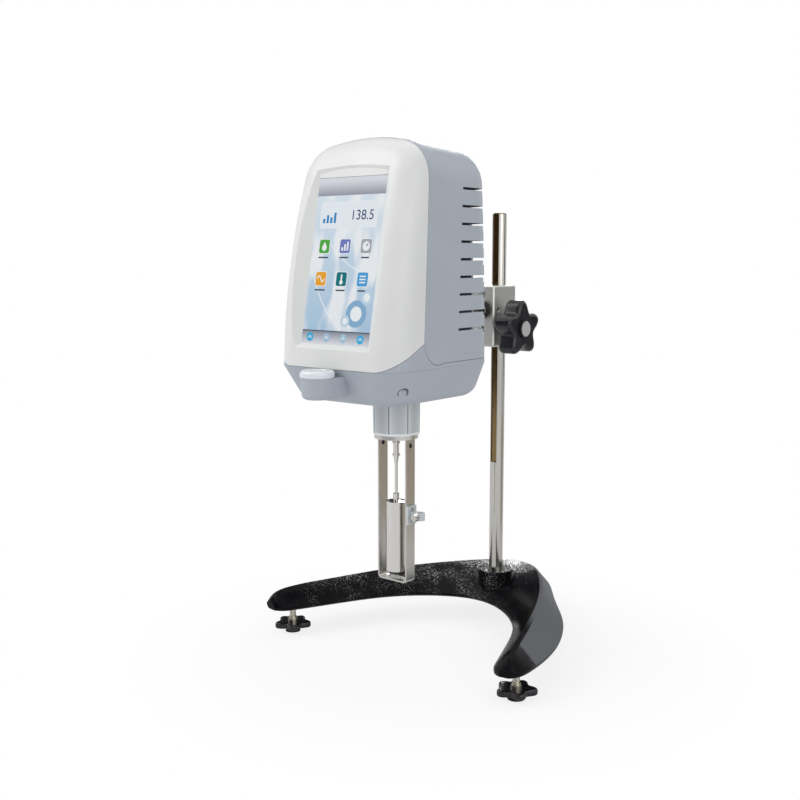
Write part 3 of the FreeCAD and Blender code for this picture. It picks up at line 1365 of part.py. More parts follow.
def make_mounting_rod():
    rod_end = BLOCK_FRONT + " + rod_socket - rod_end_gap"
    bar = rod("mounting_rod", "rod_dia", "%s - (spindle_y + rod_start)" % rod_end,
              ("0", "spindle_y + rod_start", "rod_z"), "Y")
    ring_y = BLOCK_FRONT + " - 0.3 - rod_ring_thick"
    ring = carve("rod_ring",
                 rod("rod_ring_body", "rod_ring_dia", "rod_ring_thick",
                     ("0", ring_y, "rod_z"), "Y"),
                 rod("rod_ring_bore", "rod_dia", "rod_ring_thick", ("0", ring_y, "rod_z"), "Y"))
    return [bar, ring]


def make_clamp_block():
    """A pinch clamp: pole bore, slit in front of it, socket for the rod."""
    deep = "block_front + block_rear"
    solid = block("block_body", "block_width", deep, "block_tall",
                  ("0", BLOCK_FRONT + " + (%s) / 2" % deep, "block_z"))
    doc.recompute()
    edged = doc.addObject("Part::Chamfer", "block_edged")
    edged.Base = solid
    edge = size("block_edge")
    edged.Edges = [(index, edge, edge) for index in range(1, 13)]
    bore = rod("block_bore", "pole_dia + 2 * pole_fit", "block_tall + 2",
               ("0", POLE_Y, "block_z - 1"))
    slit = block("block_slit", "slit_width", "block_front", "slit_tall + 1",
                 ("0", BLOCK_FRONT + " - 1 + block_front / 2", "block_z - 1"))
    socket = rod("block_socket", "rod_dia + 2 * rod_fit", "rod_socket + 1",
                 ("0", BLOCK_FRONT + " - 1", "rod_z"), "Y")
    screw_hole = rod("block_screw_hole", "clamp_screw_dia + 2 * screw_fit", "block_width + 2",
                     ("-block_width / 2 - 1", POLE_Y + " - knob_y", "knob_z"), "X")
    guide_hole = rod("block_guide_hole", "guide_dia", "block_front",
                     ("0", BLOCK_FRONT + " - 1", "block_z + block_tall - guide_drop"), "Y")
    set_holes = [rod("set_hole_%s" % name, "set_screw_dia", "block_width / 2 + 1",
                     (x, BLOCK_FRONT + " + rod_socket / 2", "rod_z"), along)
                 for name, x, along in (("right", "0", "X"), ("left", "0", "-X"))]
    cut = carve("clamp_block", edged, bore, slit, socket, screw_hole, guide_hole, *set_holes)
    guide_length = "block_front - pole_dia / 2 + channel_deep - guide_gap - 1.5"
    guide = rod("guide_pin", "guide_dia", guide_length,
                ("0", BLOCK_FRONT + " + 1.5", "block_z + block_tall - guide_drop"), "Y")
    inner_x = "rod_dia / 2 + 0.3"
    set_length = "block_width / 2 - 1 - (%s)" % inner_x
    screws = [rod("set_screw_right", "set_screw_dia", set_length,
                  (inner_x, BLOCK_FRONT + " + rod_socket / 2", "rod_z"), "X"),
              rod("set_screw_left", "set_screw_dia", set_length,
                  ("-(%s)" % inner_x, BLOCK_FRONT + " + rod_socket / 2", "rod_z"), "-X")]
    return [cut, guide, group("rod_set_screws", *screws)]


def make_knob():
    """Five lobed knob on the clamp screw, to the right of the block."""
    y = POLE_Y + " - knob_y"
    hub_x = "block_width / 2 + knob_gap"
    lobes_x = hub_x + " + knob_hub_tall"
    face_x = lobes_x + " + knob_thick"
    rim = lobed_disc(size("knob_dia"), size("knob_lobe"), size("knob_lobes"),
                     size("knob_thick"), size("knob_round"))
    rim.rotate(Vector(), Vector(0, 1, 0), 90)
    rim.rotate(Vector(), Vector(1, 0, 0), size("knob_rest"))
    rim.translate(Vector(size(lobes_x), size(y), size("knob_z")))
    hub = cone("knob_hub", "clamp_screw_dia + 7", "knob_hub_dia", "knob_hub_tall",
               (hub_x, y, "knob_z"), "X")
    boss = rod("knob_face", "knob_cap_dia + 5", "1.6", (face_x, y, "knob_z"), "X")
    screw_start = "-block_width / 2 - clamp_head_tall - 0.3"
    bore = rod("knob_bore", "clamp_screw_dia", "knob_hub_tall + knob_thick - 3",
               (hub_x, y, "knob_z"), "X")
    seat = rod("knob_seat", "knob_cap_dia", "knob_cap_thick + 1",
               (face_x + " + 1.6 - knob_cap_thick", y, "knob_z"), "X")
    knob = carve("clamp_knob", join("knob_body", made("knob_rim", rim), hub, boss), bore, seat)
    cap = rod("knob_cap", "knob_cap_dia", "knob_cap_thick",
              (face_x + " + 1.6 - knob_cap_thick", y, "knob_z"), "X")
    screw = join("clamp_screw",
                 rod("clamp_shank", "clamp_screw_dia",
                     "block_width + 0.3 + knob_gap + knob_hub_tall + knob_thick - 3",
                     ("-block_width / 2 - 0.3", y, "knob_z"), "X"),
                 rod("clamp_head", "clamp_head_dia", "clamp_head_tall",
                     (screw_start, y, "knob_z"), "X"))
    return [knob, cap, screw]


def make_pole():
    body = design_body("pole", ("0", POLE_Y, "pole_seat"))
    tall = "pole_top - pole_seat"
    round_bar = sketch_on(body, "XY_Plane", "pole_circle")
    draw_circle(round_bar, "pole_dia")
    bar = pad(body, round_bar, tall, "pole_bar")
    doc.recompute()
    top_edge = [("Edge%d" % index) for index, edge in enumerate(bar.Shape.Edges, 1)
                if edge.BoundBox.ZLength < 0.01 and edge.BoundBox.ZMin > size(tall) - 0.01]
    crown = body.newObject("PartDesign::Chamfer", "pole_crown")
    crown.Base = (bar, top_edge)
    bind(crown, Size="pole_chamfer")
    thread = sketch_on(body, "XY_Plane", "spigot_circle")
    draw_circle(thread, "spigot_dia")
    pad(body, thread, "spigot_tall", "pole_spigot", reverse=True)
    groove = sketch_on(body, "XY_Plane", "channel_outline", tall)
    floor = "channel_deep - pole_dia / 2"
    draw_outline(groove, (
        ("-channel_width / 2", "-pole_dia"),
        ("channel_width / 2", "-pole_dia"),
        ("channel_width / 2", floor),
        ("-channel_width / 2", floor),
    ))
    body.Tip = pocket(body, groove, "pole_top - channel_foot", "pole_channel")
    return body


def make_pole_fastening():
    washer_z = "base_z + nut_recess_deep - washer_thick"
    spot = ("0", POLE_Y)
    washer = carve("pole_washer",
                   rod("washer_body", "washer_dia", "washer_thick", spot + (washer_z,)),
                   rod("washer_bore", "spigot_dia", "washer_thick", spot + (washer_z,)))
    hexagon = doc.addObject("Part::Prism", "nut_hexagon")
    hexagon.Polygon = 6
    bind(hexagon, Circumradius="nut_flats / sqrt(3)", Height="nut_tall")
    put(hexagon, spot + (washer_z + " - nut_tall",))
    nut = carve("pole_nut", hexagon,
                rod("nut_bore", "spigot_dia", "nut_tall", spot + (washer_z + " - nut_tall",)))
    return [washer, nut]


# Base casting
def station_values(name):
    return [size("%s_%s" % (name, what)) for what in ("angle", "inner", "ridge", "outer", "top")]


def station_spot(angle, reach, height):
    turn = math.radians(angle)
    return Vector(reach * math.cos(turn), size("fan_y") + reach * math.sin(turn), height)


def outer_section(angle, inner, ridge, outer, top):
    """One radial section of the casting: lip, swelling slope, bevel, wall."""
    low = size("base_z")
    lip = low + size("base_lip")
    bevel = size("base_bevel")
    rounding = size("base_foot_round")
    half_up = lip + (top - lip) * size("base_bulge")
    spots = [station_spot(angle, reach, height) for reach, height in (
        (inner, low), (inner, lip), ((inner + ridge) / 2, half_up), (ridge, top),
        (ridge + bevel, top - size("base_bevel_drop")), (outer, low + rounding),
        (outer - 0.3 * rounding, low + 0.3 * rounding), (outer - rounding, low))]
    edges = [
        Part.LineSegment(spots[0], spots[1]).toShape(),
        Part.Arc(spots[1], spots[2], spots[3]).toShape(),
        Part.LineSegment(spots[3], spots[4]).toShape(),
        Part.LineSegment(spots[4], spots[5]).toShape(),
        Part.Arc(spots[5], spots[6], spots[7]).toShape(),
        Part.LineSegment(spots[7], spots[0]).toShape(),
    ]
    return Part.Wire(edges)


def hollow_section(angle, inner, ridge, outer, top):
    """The cavity under the casting at one station."""
    wall = size("base_wall")
    low = size("base_z") - 1
    span = ridge - inner
    corners = [station_spot(angle, reach, height) for reach, height in (
        (inner + 0.35 * span, low), (ridge - 1, top - wall),
        (ridge + 2, top - wall), (outer - 1.5 * wall, low))]
    return Part.makePolygon(corners + corners[:1])


def crescent(section, half):
    """Lofts a section through stations from the heel on, mirrored to both tips."""
    mirrored = [[180 - values[0]] + values[1:] for values in half[:0:-1]]
    return Part.makeLoft([section(*values) for values in mirrored + half], True, False)


def foot_spots():
    return (("left", "-foot_x", "foot_y"), ("right", "foot_x", "foot_y"),
            ("rear", "0", "rear_foot_y"))


def make_base():
    """Hollow crescent casting with bosses for the pole and the three feet."""
    low = size("base_z")
    stations = [station_values(name) for name, *rest in STATIONS]
    outer = crescent(outer_section, stations)
    hollow_stop = [size("hollow_stop")] + stations[-3][1:]
    hollow = crescent(hollow_section, stations[:-3] + [hollow_stop])
    casting = outer.cut(hollow)
    for side, x, y in foot_spots():
        boss = Part.makeCylinder(size("foot_boss_dia") / 2, 40,
                                 Vector(size(x), size(y), low))
        casting = casting.fuse(boss.common(outer))
    pole_spot = Vector(0, size(POLE_Y), low)
    boss = Part.makeCylinder(size("pole_boss_dia") / 2, size("pole_boss_top") - low, pole_spot)
    casting = casting.fuse(boss)
    holes = [
        Part.makeCylinder(size("nut_recess_dia") / 2, size("nut_recess_deep") + 1,
                          pole_spot - Vector(0, 0, 1)),
        Part.makeCylinder(size("spigot_dia") / 2 + 0.2, 60, pole_spot),
        Part.makeCylinder(size("pole_dia / 2 + pole_fit"), 60,
                          Vector(pole_spot.x, pole_spot.y, size("pole_seat"))),
    ]
    for side, x, y in foot_spots():
        spot = Vector(size(x), size(y), low - 1)
        holes.append(Part.makeCylinder(size("foot_screw_dia / 2 + screw_fit"),
                                       size("foot_bore_deep") + 1, spot))
    return made("base_casting", casting.cut(holes).removeSplitter())


def make_foot(side, x, y):
    """A levelling foot: screw with hub nut, lobed wheel and pad."""
    wheel_z = "pad_tall"
    nut_z = "pad_tall + wheel_thick"
    screw_top = "base_z + foot_bore_deep - 0.5"
    wheel_shape = lobed_disc(size("wheel_dia"), size("wheel_lobe"), size("knob_lobes"),
                             size("wheel_thick"), size("wheel_round"))
    wheel_shape.rotate(Vector(), Vector(0, 0, 1), size("wheel_rest"))
    wheel_shape.translate(Vector(size(x), size(y), size(wheel_z)))
    wheel = carve("levelling_wheel_" + side, made("wheel_rim_" + side, wheel_shape),
                  rod("wheel_bore_" + side, "foot_screw_dia", "wheel_thick", (x, y, wheel_z)))
    screw = join("levelling_screw_" + side,
                 rod("screw_stem_" + side, "foot_screw_dia", screw_top + " - pad_tall",
                     (x, y, "pad_tall")),
                 rod("screw_nut_" + side, "foot_nut_dia", "foot_nut_tall * 0.6", (x, y, nut_z)),
                 rod("screw_neck_" + side, "foot_nut_dia - 2", "foot_nut_tall", (x, y, nut_z)),
                 rod("screw_lock_" + side, "lock_nut_dia", "lock_nut_tall",
                     (x, y, "base_z - lock_nut_gap - lock_nut_tall")))
    pad_piece = cone("foot_pad_" + side, "pad_dia", "pad_dia - 3", "pad_tall", (x, y, "0"))
    return [screw, wheel, pad_piece]


def build():
    outer = head_form(0)
    inner = head_form(size("head_wall"))
    face_zone, cover_zone, bottom_zone = make_shell_zones()
    nodes = [make_base(), make_pole()] + make_pole_fastening()
    for side, x, y in foot_spots():
        nodes += make_foot(side, x, y)
    nodes += make_clamp_block() + make_knob() + make_mounting_rod()
    nodes += [make_front_bezel(outer, inner, face_zone),
              make_rear_cover(outer, inner, cover_zone),
              make_lower_housing(outer, inner, bottom_zone)]
    nodes += make_level() + [make_housing_screws()]
    nodes += make_display() + [make_chassis()] + make_pivot_mount() + make_motor()
    nodes += [make_sensor_board(), make_power_supply()]
    nodes += make_rear_fittings()
    nodes += make_guard() + make_probe_clip()
    nodes += make_measuring_rotor() + make_drive_rotor()
    return nodes


def check_document(nodes):
    doc.recompute()
    for item in doc.Objects:
        if "Invalid" in item.State or "Error" in item.State:
            raise RuntimeError("%s did not compute" % item.Label)
    for node in nodes:
        if node.Shape.isNull() or not node.Shape.isValid() or not node.Shape.Solids:
            raise RuntimeError("%s has no valid solid" % node.Label)


def export(nodes):
    os.makedirs("parts", exist_ok=True)
    for node in nodes:
        node.Shape.exportStep("parts/%s.step" % node.Label)
        box = node.Shape.BoundBox
        print("%-22s %d solid(s) x %.1f..%.1f y %.1f..%.1f z %.1f..%.1f" % (
            node.Label, len(node.Shape.Solids), box.XMin, box.XMax,
            box.YMin, box.YMax, box.ZMin, box.ZMax))


sub_parts = build()
check_document(sub_parts)
export(sub_parts)
print(len(sub_parts), "sub-parts")
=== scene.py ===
# %% [markdown]
# # A rotational rheometer on its stand
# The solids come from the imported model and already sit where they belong. This lesson dresses
# them: it sets up a small photo studio, gives every solid a finish worked out in shader nodes,
# and adds the fine pieces that a solid model leaves out, such as screw threads, the level's
# bubble and the pictures on the display. Lengths are in metres, X points right, Y back, Z up.

import json
import math

import bpy
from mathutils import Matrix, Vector


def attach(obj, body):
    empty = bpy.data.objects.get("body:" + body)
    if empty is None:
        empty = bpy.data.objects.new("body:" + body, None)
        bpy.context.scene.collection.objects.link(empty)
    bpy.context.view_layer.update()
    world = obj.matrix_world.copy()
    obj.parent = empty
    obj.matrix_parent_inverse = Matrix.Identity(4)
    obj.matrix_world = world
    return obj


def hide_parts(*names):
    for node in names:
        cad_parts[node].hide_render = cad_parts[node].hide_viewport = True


MM = 0.001
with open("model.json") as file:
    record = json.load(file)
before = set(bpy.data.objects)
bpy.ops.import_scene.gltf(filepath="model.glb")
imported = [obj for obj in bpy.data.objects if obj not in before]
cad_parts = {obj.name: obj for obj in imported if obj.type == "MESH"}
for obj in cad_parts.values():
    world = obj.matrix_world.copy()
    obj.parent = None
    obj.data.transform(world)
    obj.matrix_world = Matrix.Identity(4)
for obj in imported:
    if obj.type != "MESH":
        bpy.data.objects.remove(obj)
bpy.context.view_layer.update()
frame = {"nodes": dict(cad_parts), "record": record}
for plain in bpy.data.materials:
    plain.name = plain.name + "_plain"

# %% [markdown]
# ## The camera
# The picture is taken from the front right and a little above, with a normal lens. The camera
# turns 40 degrees round the object and looks 7.4 degrees down, and its place is measured from
# the measuring axis, so the perspective of the head and the long pole comes out right.

# %% Place the camera
SENSOR = 36.0
FOCAL_PIXELS = 1104.4
PICTURE_PIXELS = 800
CAMERA_SPOT = Vector((0.641, -0.8174, 0.3759))
CAMERA_TURN = math.radians(40)
CAMERA_DIP = math.radians(7.44)

camera_data = bpy.data.cameras.new("camera")
camera_data.sensor_width = SENSOR
camera_data.lens = FOCAL_PIXELS * SENSOR / PICTURE_PIXELS
camera = bpy.data.objects.new("camera", camera_data)
camera.location = CAMERA_SPOT
camera.rotation_euler = (math.pi / 2 - CAMERA_DIP, 0, CAMERA_TURN)
bpy.context.scene.collection.objects.link(camera)
bpy.context.scene.camera = camera
bpy.context.scene.view_settings.view_transform = "Standard"
print("lens:", round(camera_data.lens, 1), "mm")

# %% [markdown]
# ## A small box of shader tools
# The light, the floor and every finish are worked out in shader nodes, and the same few steps
# come back all the time: a sum, a step of vector arithmetic, a value that runs from one level
# to another, a blend of two colours. With a helper for each, a finish reads like a recipe.

# %% Helpers for values and colours
def add_math(tree, operation, first, second):
    """One sum of two values, either of which may be a socket or a number."""
    node = tree.nodes.new("ShaderNodeMath")
    node.operation = operation
    for value, target in zip((first, second), node.inputs):
        if isinstance(value, (int, float)):
            target.default_value = value
        else:
            tree.links.new(value, target)
    return node.outputs[0]


def add_vector(tree, operation, first, second=None):
    """One step of vector arithmetic; the second may be a fixed vector or a socket."""
    node = tree.nodes.new("ShaderNodeVectorMath")
    node.operation = operation
    tree.links.new(first, node.inputs[0])
    if isinstance(second, tuple):
        node.inputs[1].default_value = second
    elif second is not None:
        tree.links.new(second, node.inputs[1])
    return node.outputs["Value" if operation in ("LENGTH", "DOT_PRODUCT") else "Vector"]


def split(tree, vector):
    """The X, Y and Z of a vector."""
    node = tree.nodes.new("ShaderNodeSeparateXYZ")
    tree.links.new(vector, node.inputs[0])
    return node.outputs


def add_range(tree, value, start, end, low, high):
    """Goes from low to high while a value goes from start to end."""
    node = tree.nodes.new("ShaderNodeMapRange")
    for socket, level in (("From Min", start), ("From Max", end), ("To Min", low),
                          ("To Max", high)):
        node.inputs[socket].default_value = level
    tree.links.new(value, node.inputs["Value"])
    return node.outputs["Result"]


def add_step(tree, value, start, end):
    """A mask that goes softly from 0 to 1 while a value goes from start to end."""
    result = add_range(tree, value, start, end, 0.0, 1.0)
    result.node.interpolation_type = "SMOOTHSTEP"
    return result


def add_mix(tree, share, under, over):
    """One colour laid over another; each is a fixed colour or a socket."""
    node = tree.nodes.new("ShaderNodeMix")
    node.data_type = "RGBA"
    tree.links.new(share, node.inputs[0])
    for colour, target in ((under, node.inputs[6]), (over, node.inputs[7])):
        if isinstance(colour, tuple):
            target.default_value = (*colour, 1)
        else:
            tree.links.new(colour, target)
    return node.outputs[2]


def tint_between(tree, source, target, first, second, start=0.35, end=0.65):
    """Feeds a colour socket with a blend of two colours led by a value."""
    ramp = tree.nodes.new("ShaderNodeValToRGB")
    for stop, place, colour in zip(ramp.color_ramp.elements, (start, end), (first, second)):
        stop.position = place
        stop.color = (*colour, 1)
    tree.links.new(source, ramp.inputs["Fac"])
    tree.links.new(ramp.outputs["Color"], target)
    return ramp.outputs["Color"]


def shaded(colour, factor):
    """The same colour, a little lighter or darker."""
    return tuple(value * factor for value in colour)


# %% [markdown]
# Every finish starts from the Principled shader. One helper opens it, one adds a noise whose
# grain is given in millimetres, and one turns a noise into tiny bumps. The noise is laid over
# the object's own coordinates, which keeps its grain the same size on every solid.

# %% Helpers for a finish
def open_finish(name, colour, roughness, metallic=0.0, coat=0.0):
    """A new material, its nodes and its Principled shader."""
    finish = bpy.data.materials.new(name)
    finish.use_nodes = True
    shader = finish.node_tree.nodes["Principled BSDF"]
    shader.inputs["Base Color"].default_value = (*colour, 1)
    shader.inputs["Roughness"].default_value = roughness
    shader.inputs["Metallic"].default_value = metallic
    shader.inputs["Coat Weight"].default_value = coat
    shader.inputs["Coat Roughness"].default_value = 0.08
    return finish, finish.node_tree, shader


def add_grain(tree, grain_mm, stretch=(1, 1, 1), detail=3.0):
    """Noise over the object's own coordinates, in grains of that size."""
    place = tree.nodes.new("ShaderNodeTexCoord")
    scale = tree.nodes.new("ShaderNodeMapping")
    scale.inputs["Scale"].default_value = [value / (grain_mm * MM) for value in stretch]
    noise = tree.nodes.new("ShaderNodeTexNoise")
    noise.inputs["Scale"].default_value = 1.0
    noise.inputs["Detail"].default_value = detail
    tree.links.new(place.outputs["Object"], scale.inputs["Vector"])
    tree.links.new(scale.outputs["Vector"], noise.inputs["Vector"])
    return noise.outputs["Fac"]


def add_bump(tree, shader, height, depth_mm):
    """Raises the surface by a value that changes over it."""
    bump = tree.nodes.new("ShaderNodeBump")
    bump.inputs["Strength"].default_value = 1.0
    bump.inputs["Distance"].default_value = depth_mm * MM
    tree.links.new(height, bump.inputs["Height"])
    tree.links.new(bump.outputs["Normal"], shader.inputs["Normal"])


def vary_gloss(tree, shader, grain_mm, low, high):
    """Lets the roughness change slowly over the surface, as handling does."""
    level = add_range(tree, add_grain(tree, grain_mm), 0.3, 0.7, low, high)
    tree.links.new(level, shader.inputs["Roughness"])


# %% [markdown]
# ## The studio
# Product pictures of pale plastic are taken in a white tent: soft light from every side, one
# larger lamp up on the left and a weaker one on the right. The world gives the tent. Its
# diffuse light is kept low, and what the camera, metal and glass see of it is set apart with
# the Light Path node, so that the background is white while the plastic keeps its own tone.

# %% Put up the tent
TENT_LIGHT = ((0.95, 0.97, 1.0, 1), 0.62)
TENT_SEEN = ((1, 1, 1, 1), 1.0)
world = bpy.data.worlds.new("tent")
bpy.context.scene.world = world
world.use_nodes = True
tent = world.node_tree
tent.nodes.clear()
ray = tent.nodes.new("ShaderNodeLightPath").outputs
seen = add_math(tent, "MAXIMUM", ray["Is Camera Ray"], ray["Is Glossy Ray"])
seen = add_math(tent, "MAXIMUM", seen, ray["Is Transmission Ray"])
either = tent.nodes.new("ShaderNodeMixShader")
tent.links.new(seen, either.inputs[0])
for place, (colour, strength) in enumerate((TENT_LIGHT, TENT_SEEN), 1):
    cloth = tent.nodes.new("ShaderNodeBackground")
    cloth.inputs["Color"].default_value = colour
    cloth.inputs["Strength"].default_value = strength
    tent.links.new(cloth.outputs[0], either.inputs[place])
tent_out = tent.nodes.new("ShaderNodeOutputWorld")
tent.links.new(either.outputs[0], tent_out.inputs[0])
print("nodes in the tent:", len(tent.nodes))


# %% Hang the lamps
def add_lamp(name, spot, aim, size, watts):
    """A square soft lamp at one spot, turned to face another."""
    lamp_data = bpy.data.lights.new(name, "AREA")
    lamp_data.size = size
    lamp_data.energy = watts
    lamp = bpy.data.objects.new(name, lamp_data)
    lamp.location = spot
    lamp.rotation_euler = (Vector(aim) - Vector(spot)).to_track_quat("-Z", "Y").to_euler()
    bpy.context.scene.collection.objects.link(lamp)
    return lamp


HEAD_MIDDLE = (0, -0.06, 0.35)
BASE_MIDDLE = (0, 0.05, 0.05)
add_lamp("key_lamp", (-0.9, -1.3, 1.5), HEAD_MIDDLE, 1.2, 16)
add_lamp("fill_lamp", (1.6, -0.5, 0.8), HEAD_MIDDLE, 1.0, 5)
add_lamp("top_lamp", (0.1, 0.3, 1.7), HEAD_MIDDLE, 1.0, 2.8)
rim_lamp = add_lamp("rim_lamp", (-0.7, 1.2, 0.9), BASE_MIDDLE, 0.35, 9)
rim_lamp.visible_diffuse = False

# %% [markdown]
# ## The floor
# The object stands on a pale bench. A plain sheet is enough, but a grey floor would end in a
# horizon, so most of what the camera sees of it is white and the rest is the real shaded
# floor. The white share grows to all of it 30 centimetres out, where the bench melts into the
# background, and near the feet the soft shadow stays.

# %% Lay the floor
FLOOR_SIZE = 6.0
BENCH_TONE = 0.86
FADE_FROM, FADE_TO = 0.15, 0.3
WHITE_FROM, WHITE_TO = 0.82, 1.0
floor_mesh = bpy.data.meshes.new("bench")
reach = FLOOR_SIZE / 2
floor_mesh.from_pydata([(-reach, -reach, 0), (reach, -reach, 0), (reach, reach, 0),
                        (-reach, reach, 0)], [], [(0, 1, 2, 3)])
floor = bpy.data.objects.new("bench", floor_mesh)
bpy.context.scene.collection.objects.link(floor)
bench_finish = bpy.data.materials.new("bench_white")
bench_finish.use_nodes = True
bench_tree = bench_finish.node_tree
bench_tree.nodes.clear()
bench_spot = bench_tree.nodes.new("ShaderNodeNewGeometry").outputs["Position"]
whiter = add_range(bench_tree, add_vector(bench_tree, "LENGTH", bench_spot),
                   FADE_FROM, FADE_TO, WHITE_FROM, WHITE_TO)
bench_ray = bench_tree.nodes.new("ShaderNodeLightPath").outputs["Is Camera Ray"]
matt = bench_tree.nodes.new("ShaderNodeBsdfDiffuse")
matt.inputs["Color"].default_value = (BENCH_TONE, BENCH_TONE, BENCH_TONE, 1)
glow = bench_tree.nodes.new("ShaderNodeEmission")
glow.inputs["Strength"].default_value = 1.0
bench_mix = bench_tree.nodes.new("ShaderNodeMixShader")
bench_out = bench_tree.nodes.new("ShaderNodeOutputMaterial")
bench_tree.links.new(add_math(bench_tree, "MULTIPLY", bench_ray, whiter), bench_mix.inputs[0])
bench_tree.links.new(matt.outputs[0], bench_mix.inputs[1])
bench_tree.links.new(glow.outputs[0], bench_mix.inputs[2])
bench_tree.links.new(bench_mix.outputs[0], bench_out.inputs[0])
floor_mesh.materials.append(bench_finish)
print("floor:", FLOOR_SIZE, "m wide, white from", FADE_TO, "m out")

# %% [markdown]
# ## Cards for the metal
# In a tent that is white all round, polished steel looks like grey plastic, because it has
# nothing to mirror. Photographers hang cards just outside the picture: dark ones, and one low
# tan one. Only mirror-like surfaces see them, so they draw dark lines down the pole and the
# straps and deepen the black parts, and they take no light away from the pale plastic.

# %% Hang the cards
def add_card(name, middle, turn, wide, low, high, colour):
    """An upright card that only glossy surfaces see."""
    half = wide / 2
    card_mesh = bpy.data.meshes.new(name)
    card_mesh.from_pydata([(-half, 0, low), (half, 0, low), (half, 0, high), (-half, 0, high)],
                          [], [(0, 1, 2, 3)])
    card = bpy.data.objects.new(name, card_mesh)
    card.location = (middle[0], middle[1], 0)
    card.rotation_euler = (0, 0, math.radians(turn))
    bpy.context.scene.collection.objects.link(card)
    felt = bpy.data.materials.new(name + "_felt")
    felt.use_nodes = True
    felt.node_tree.nodes["Principled BSDF"].inputs["Base Color"].default_value = (*colour, 1)
    felt.node_tree.nodes["Principled BSDF"].inputs["Roughness"].default_value = 0.95
    card_mesh.materials.append(felt)
    card.visible_camera = False
    card.visible_diffuse = False
    card.visible_shadow = False
    card.visible_transmission = False


BROWN_FELT = (0.05, 0.032, 0.014)
GREY_FELT = (0.03, 0.03, 0.035)
TAN_FELT = (0.55, 0.47, 0.36)
add_card("front_card", (-0.23, -1.45), -9, 2.4, 0.0, 1.3, BROWN_FELT)
add_card("right_card", (1.22, 1.46), -40, 1.0, 0.08, 0.8, GREY_FELT)
add_card("rear_card", (-1.2, 1.5), 39, 2.4, 0.02, 2.0, GREY_FELT)
add_card("low_card", (0.32, 0.33), -40, 0.3, 0.0, 0.16, TAN_FELT)

# %% [markdown]
# ## Moulded plastics
# The head is injection moulded. A mould leaves a very fine spark texture that only shows as a
# soft sheen, and handling leaves slow cloudy changes. So each plastic has three noises: a fine
# one for bump and two slow ones, for tone and for roughness.

# %% Plastic finishes
def moulded_plastic(name, colour, roughness, texture_mm=0.35, depth_mm=0.012, coat=0.0):
    """Injection moulded plastic with a spark-eroded texture."""
    finish, tree, shader = open_finish(name, colour, roughness, coat=coat)
    add_bump(tree, shader, add_grain(tree, texture_mm, detail=2.0), depth_mm)
    tint_between(tree, add_grain(tree, 45), shader.inputs["Base Color"],
                 shaded(colour, 0.985), shaded(colour, 1.015))
    vary_gloss(tree, shader, 14, roughness - 0.03, roughness + 0.04)
    return finish


moulded_plastic("bezel_white", (0.73, 0.73, 0.71), 0.36)
moulded_plastic("cover_grey", (0.4, 0.43, 0.475), 0.45, depth_mm=0.02)
collar_grey = moulded_plastic("collar_grey", (0.46, 0.49, 0.52), 0.2, depth_mm=0.004, coat=0.5)
moulded_plastic("knob_black", (0.008, 0.008, 0.011), 0.24, depth_mm=0.006)
moulded_plastic("cap_grey", (0.42, 0.42, 0.41), 0.4)
moulded_plastic("fitting_black", (0.02, 0.02, 0.022), 0.42)
moulded_plastic("clip_plastic", (0.55, 0.58, 0.6), 0.3, depth_mm=0.006)
moulded_plastic("seal_rubber", (0.018, 0.018, 0.018), 0.7, texture_mm=0.6)
moulded_plastic("board_green", (0.02, 0.14, 0.06), 0.35)
moulded_plastic("motor_black", (0.02, 0.02, 0.022), 0.4)

# %% [markdown]
# ## Metals
# Steel shows how it was made. A pole is ground lengthways round, strip is brushed along its
# length and a spindle is turned. The same noise does all three when it is stretched along the
# lay of the scratches, with a slow second noise for the marks that fingers leave.

# %% Metal finishes
def worked_metal(name, colour, roughness, lay=(1, 1, 1), scratch_mm=0.25, depth_mm=0.0006):
    """Bare metal with fine scratches in one direction."""
    finish, tree, shader = open_finish(name, colour, roughness, metallic=1.0)
    scratches = add_grain(tree, scratch_mm, stretch=lay, detail=4.0)
    add_bump(tree, shader, scratches, depth_mm)
    tint_between(tree, scratches, shader.inputs["Base Color"],
                 shaded(colour, 0.96), shaded(colour, 1.03))
    vary_gloss(tree, shader, 9, roughness, roughness + 0.03)
    return finish


UPRIGHT = (1, 1, 0.02)
ALONG_Y = (1, 0.05, 1)
ROUND_Z = (0.15, 0.15, 3)
pole_steel = worked_metal("pole_steel", (0.55, 0.53, 0.49), 0.16, lay=UPRIGHT)
worked_metal("guard_steel", (0.6, 0.58, 0.55), 0.24, lay=UPRIGHT, depth_mm=0.0003)
worked_metal("spindle_steel", (0.68, 0.66, 0.63), 0.14, lay=ROUND_Z, depth_mm=0.0003)
worked_metal("screw_steel", (0.6, 0.58, 0.54), 0.26)
worked_metal("clamp_metal", (0.64, 0.64, 0.6), 0.38, scratch_mm=0.6, depth_mm=0.02)
worked_metal("chassis_alloy", (0.62, 0.63, 0.64), 0.35, lay=ALONG_Y)
worked_metal("bearing_steel", (0.6, 0.6, 0.6), 0.2)
worked_metal("brass_part", (0.64, 0.6, 0.5), 0.25)
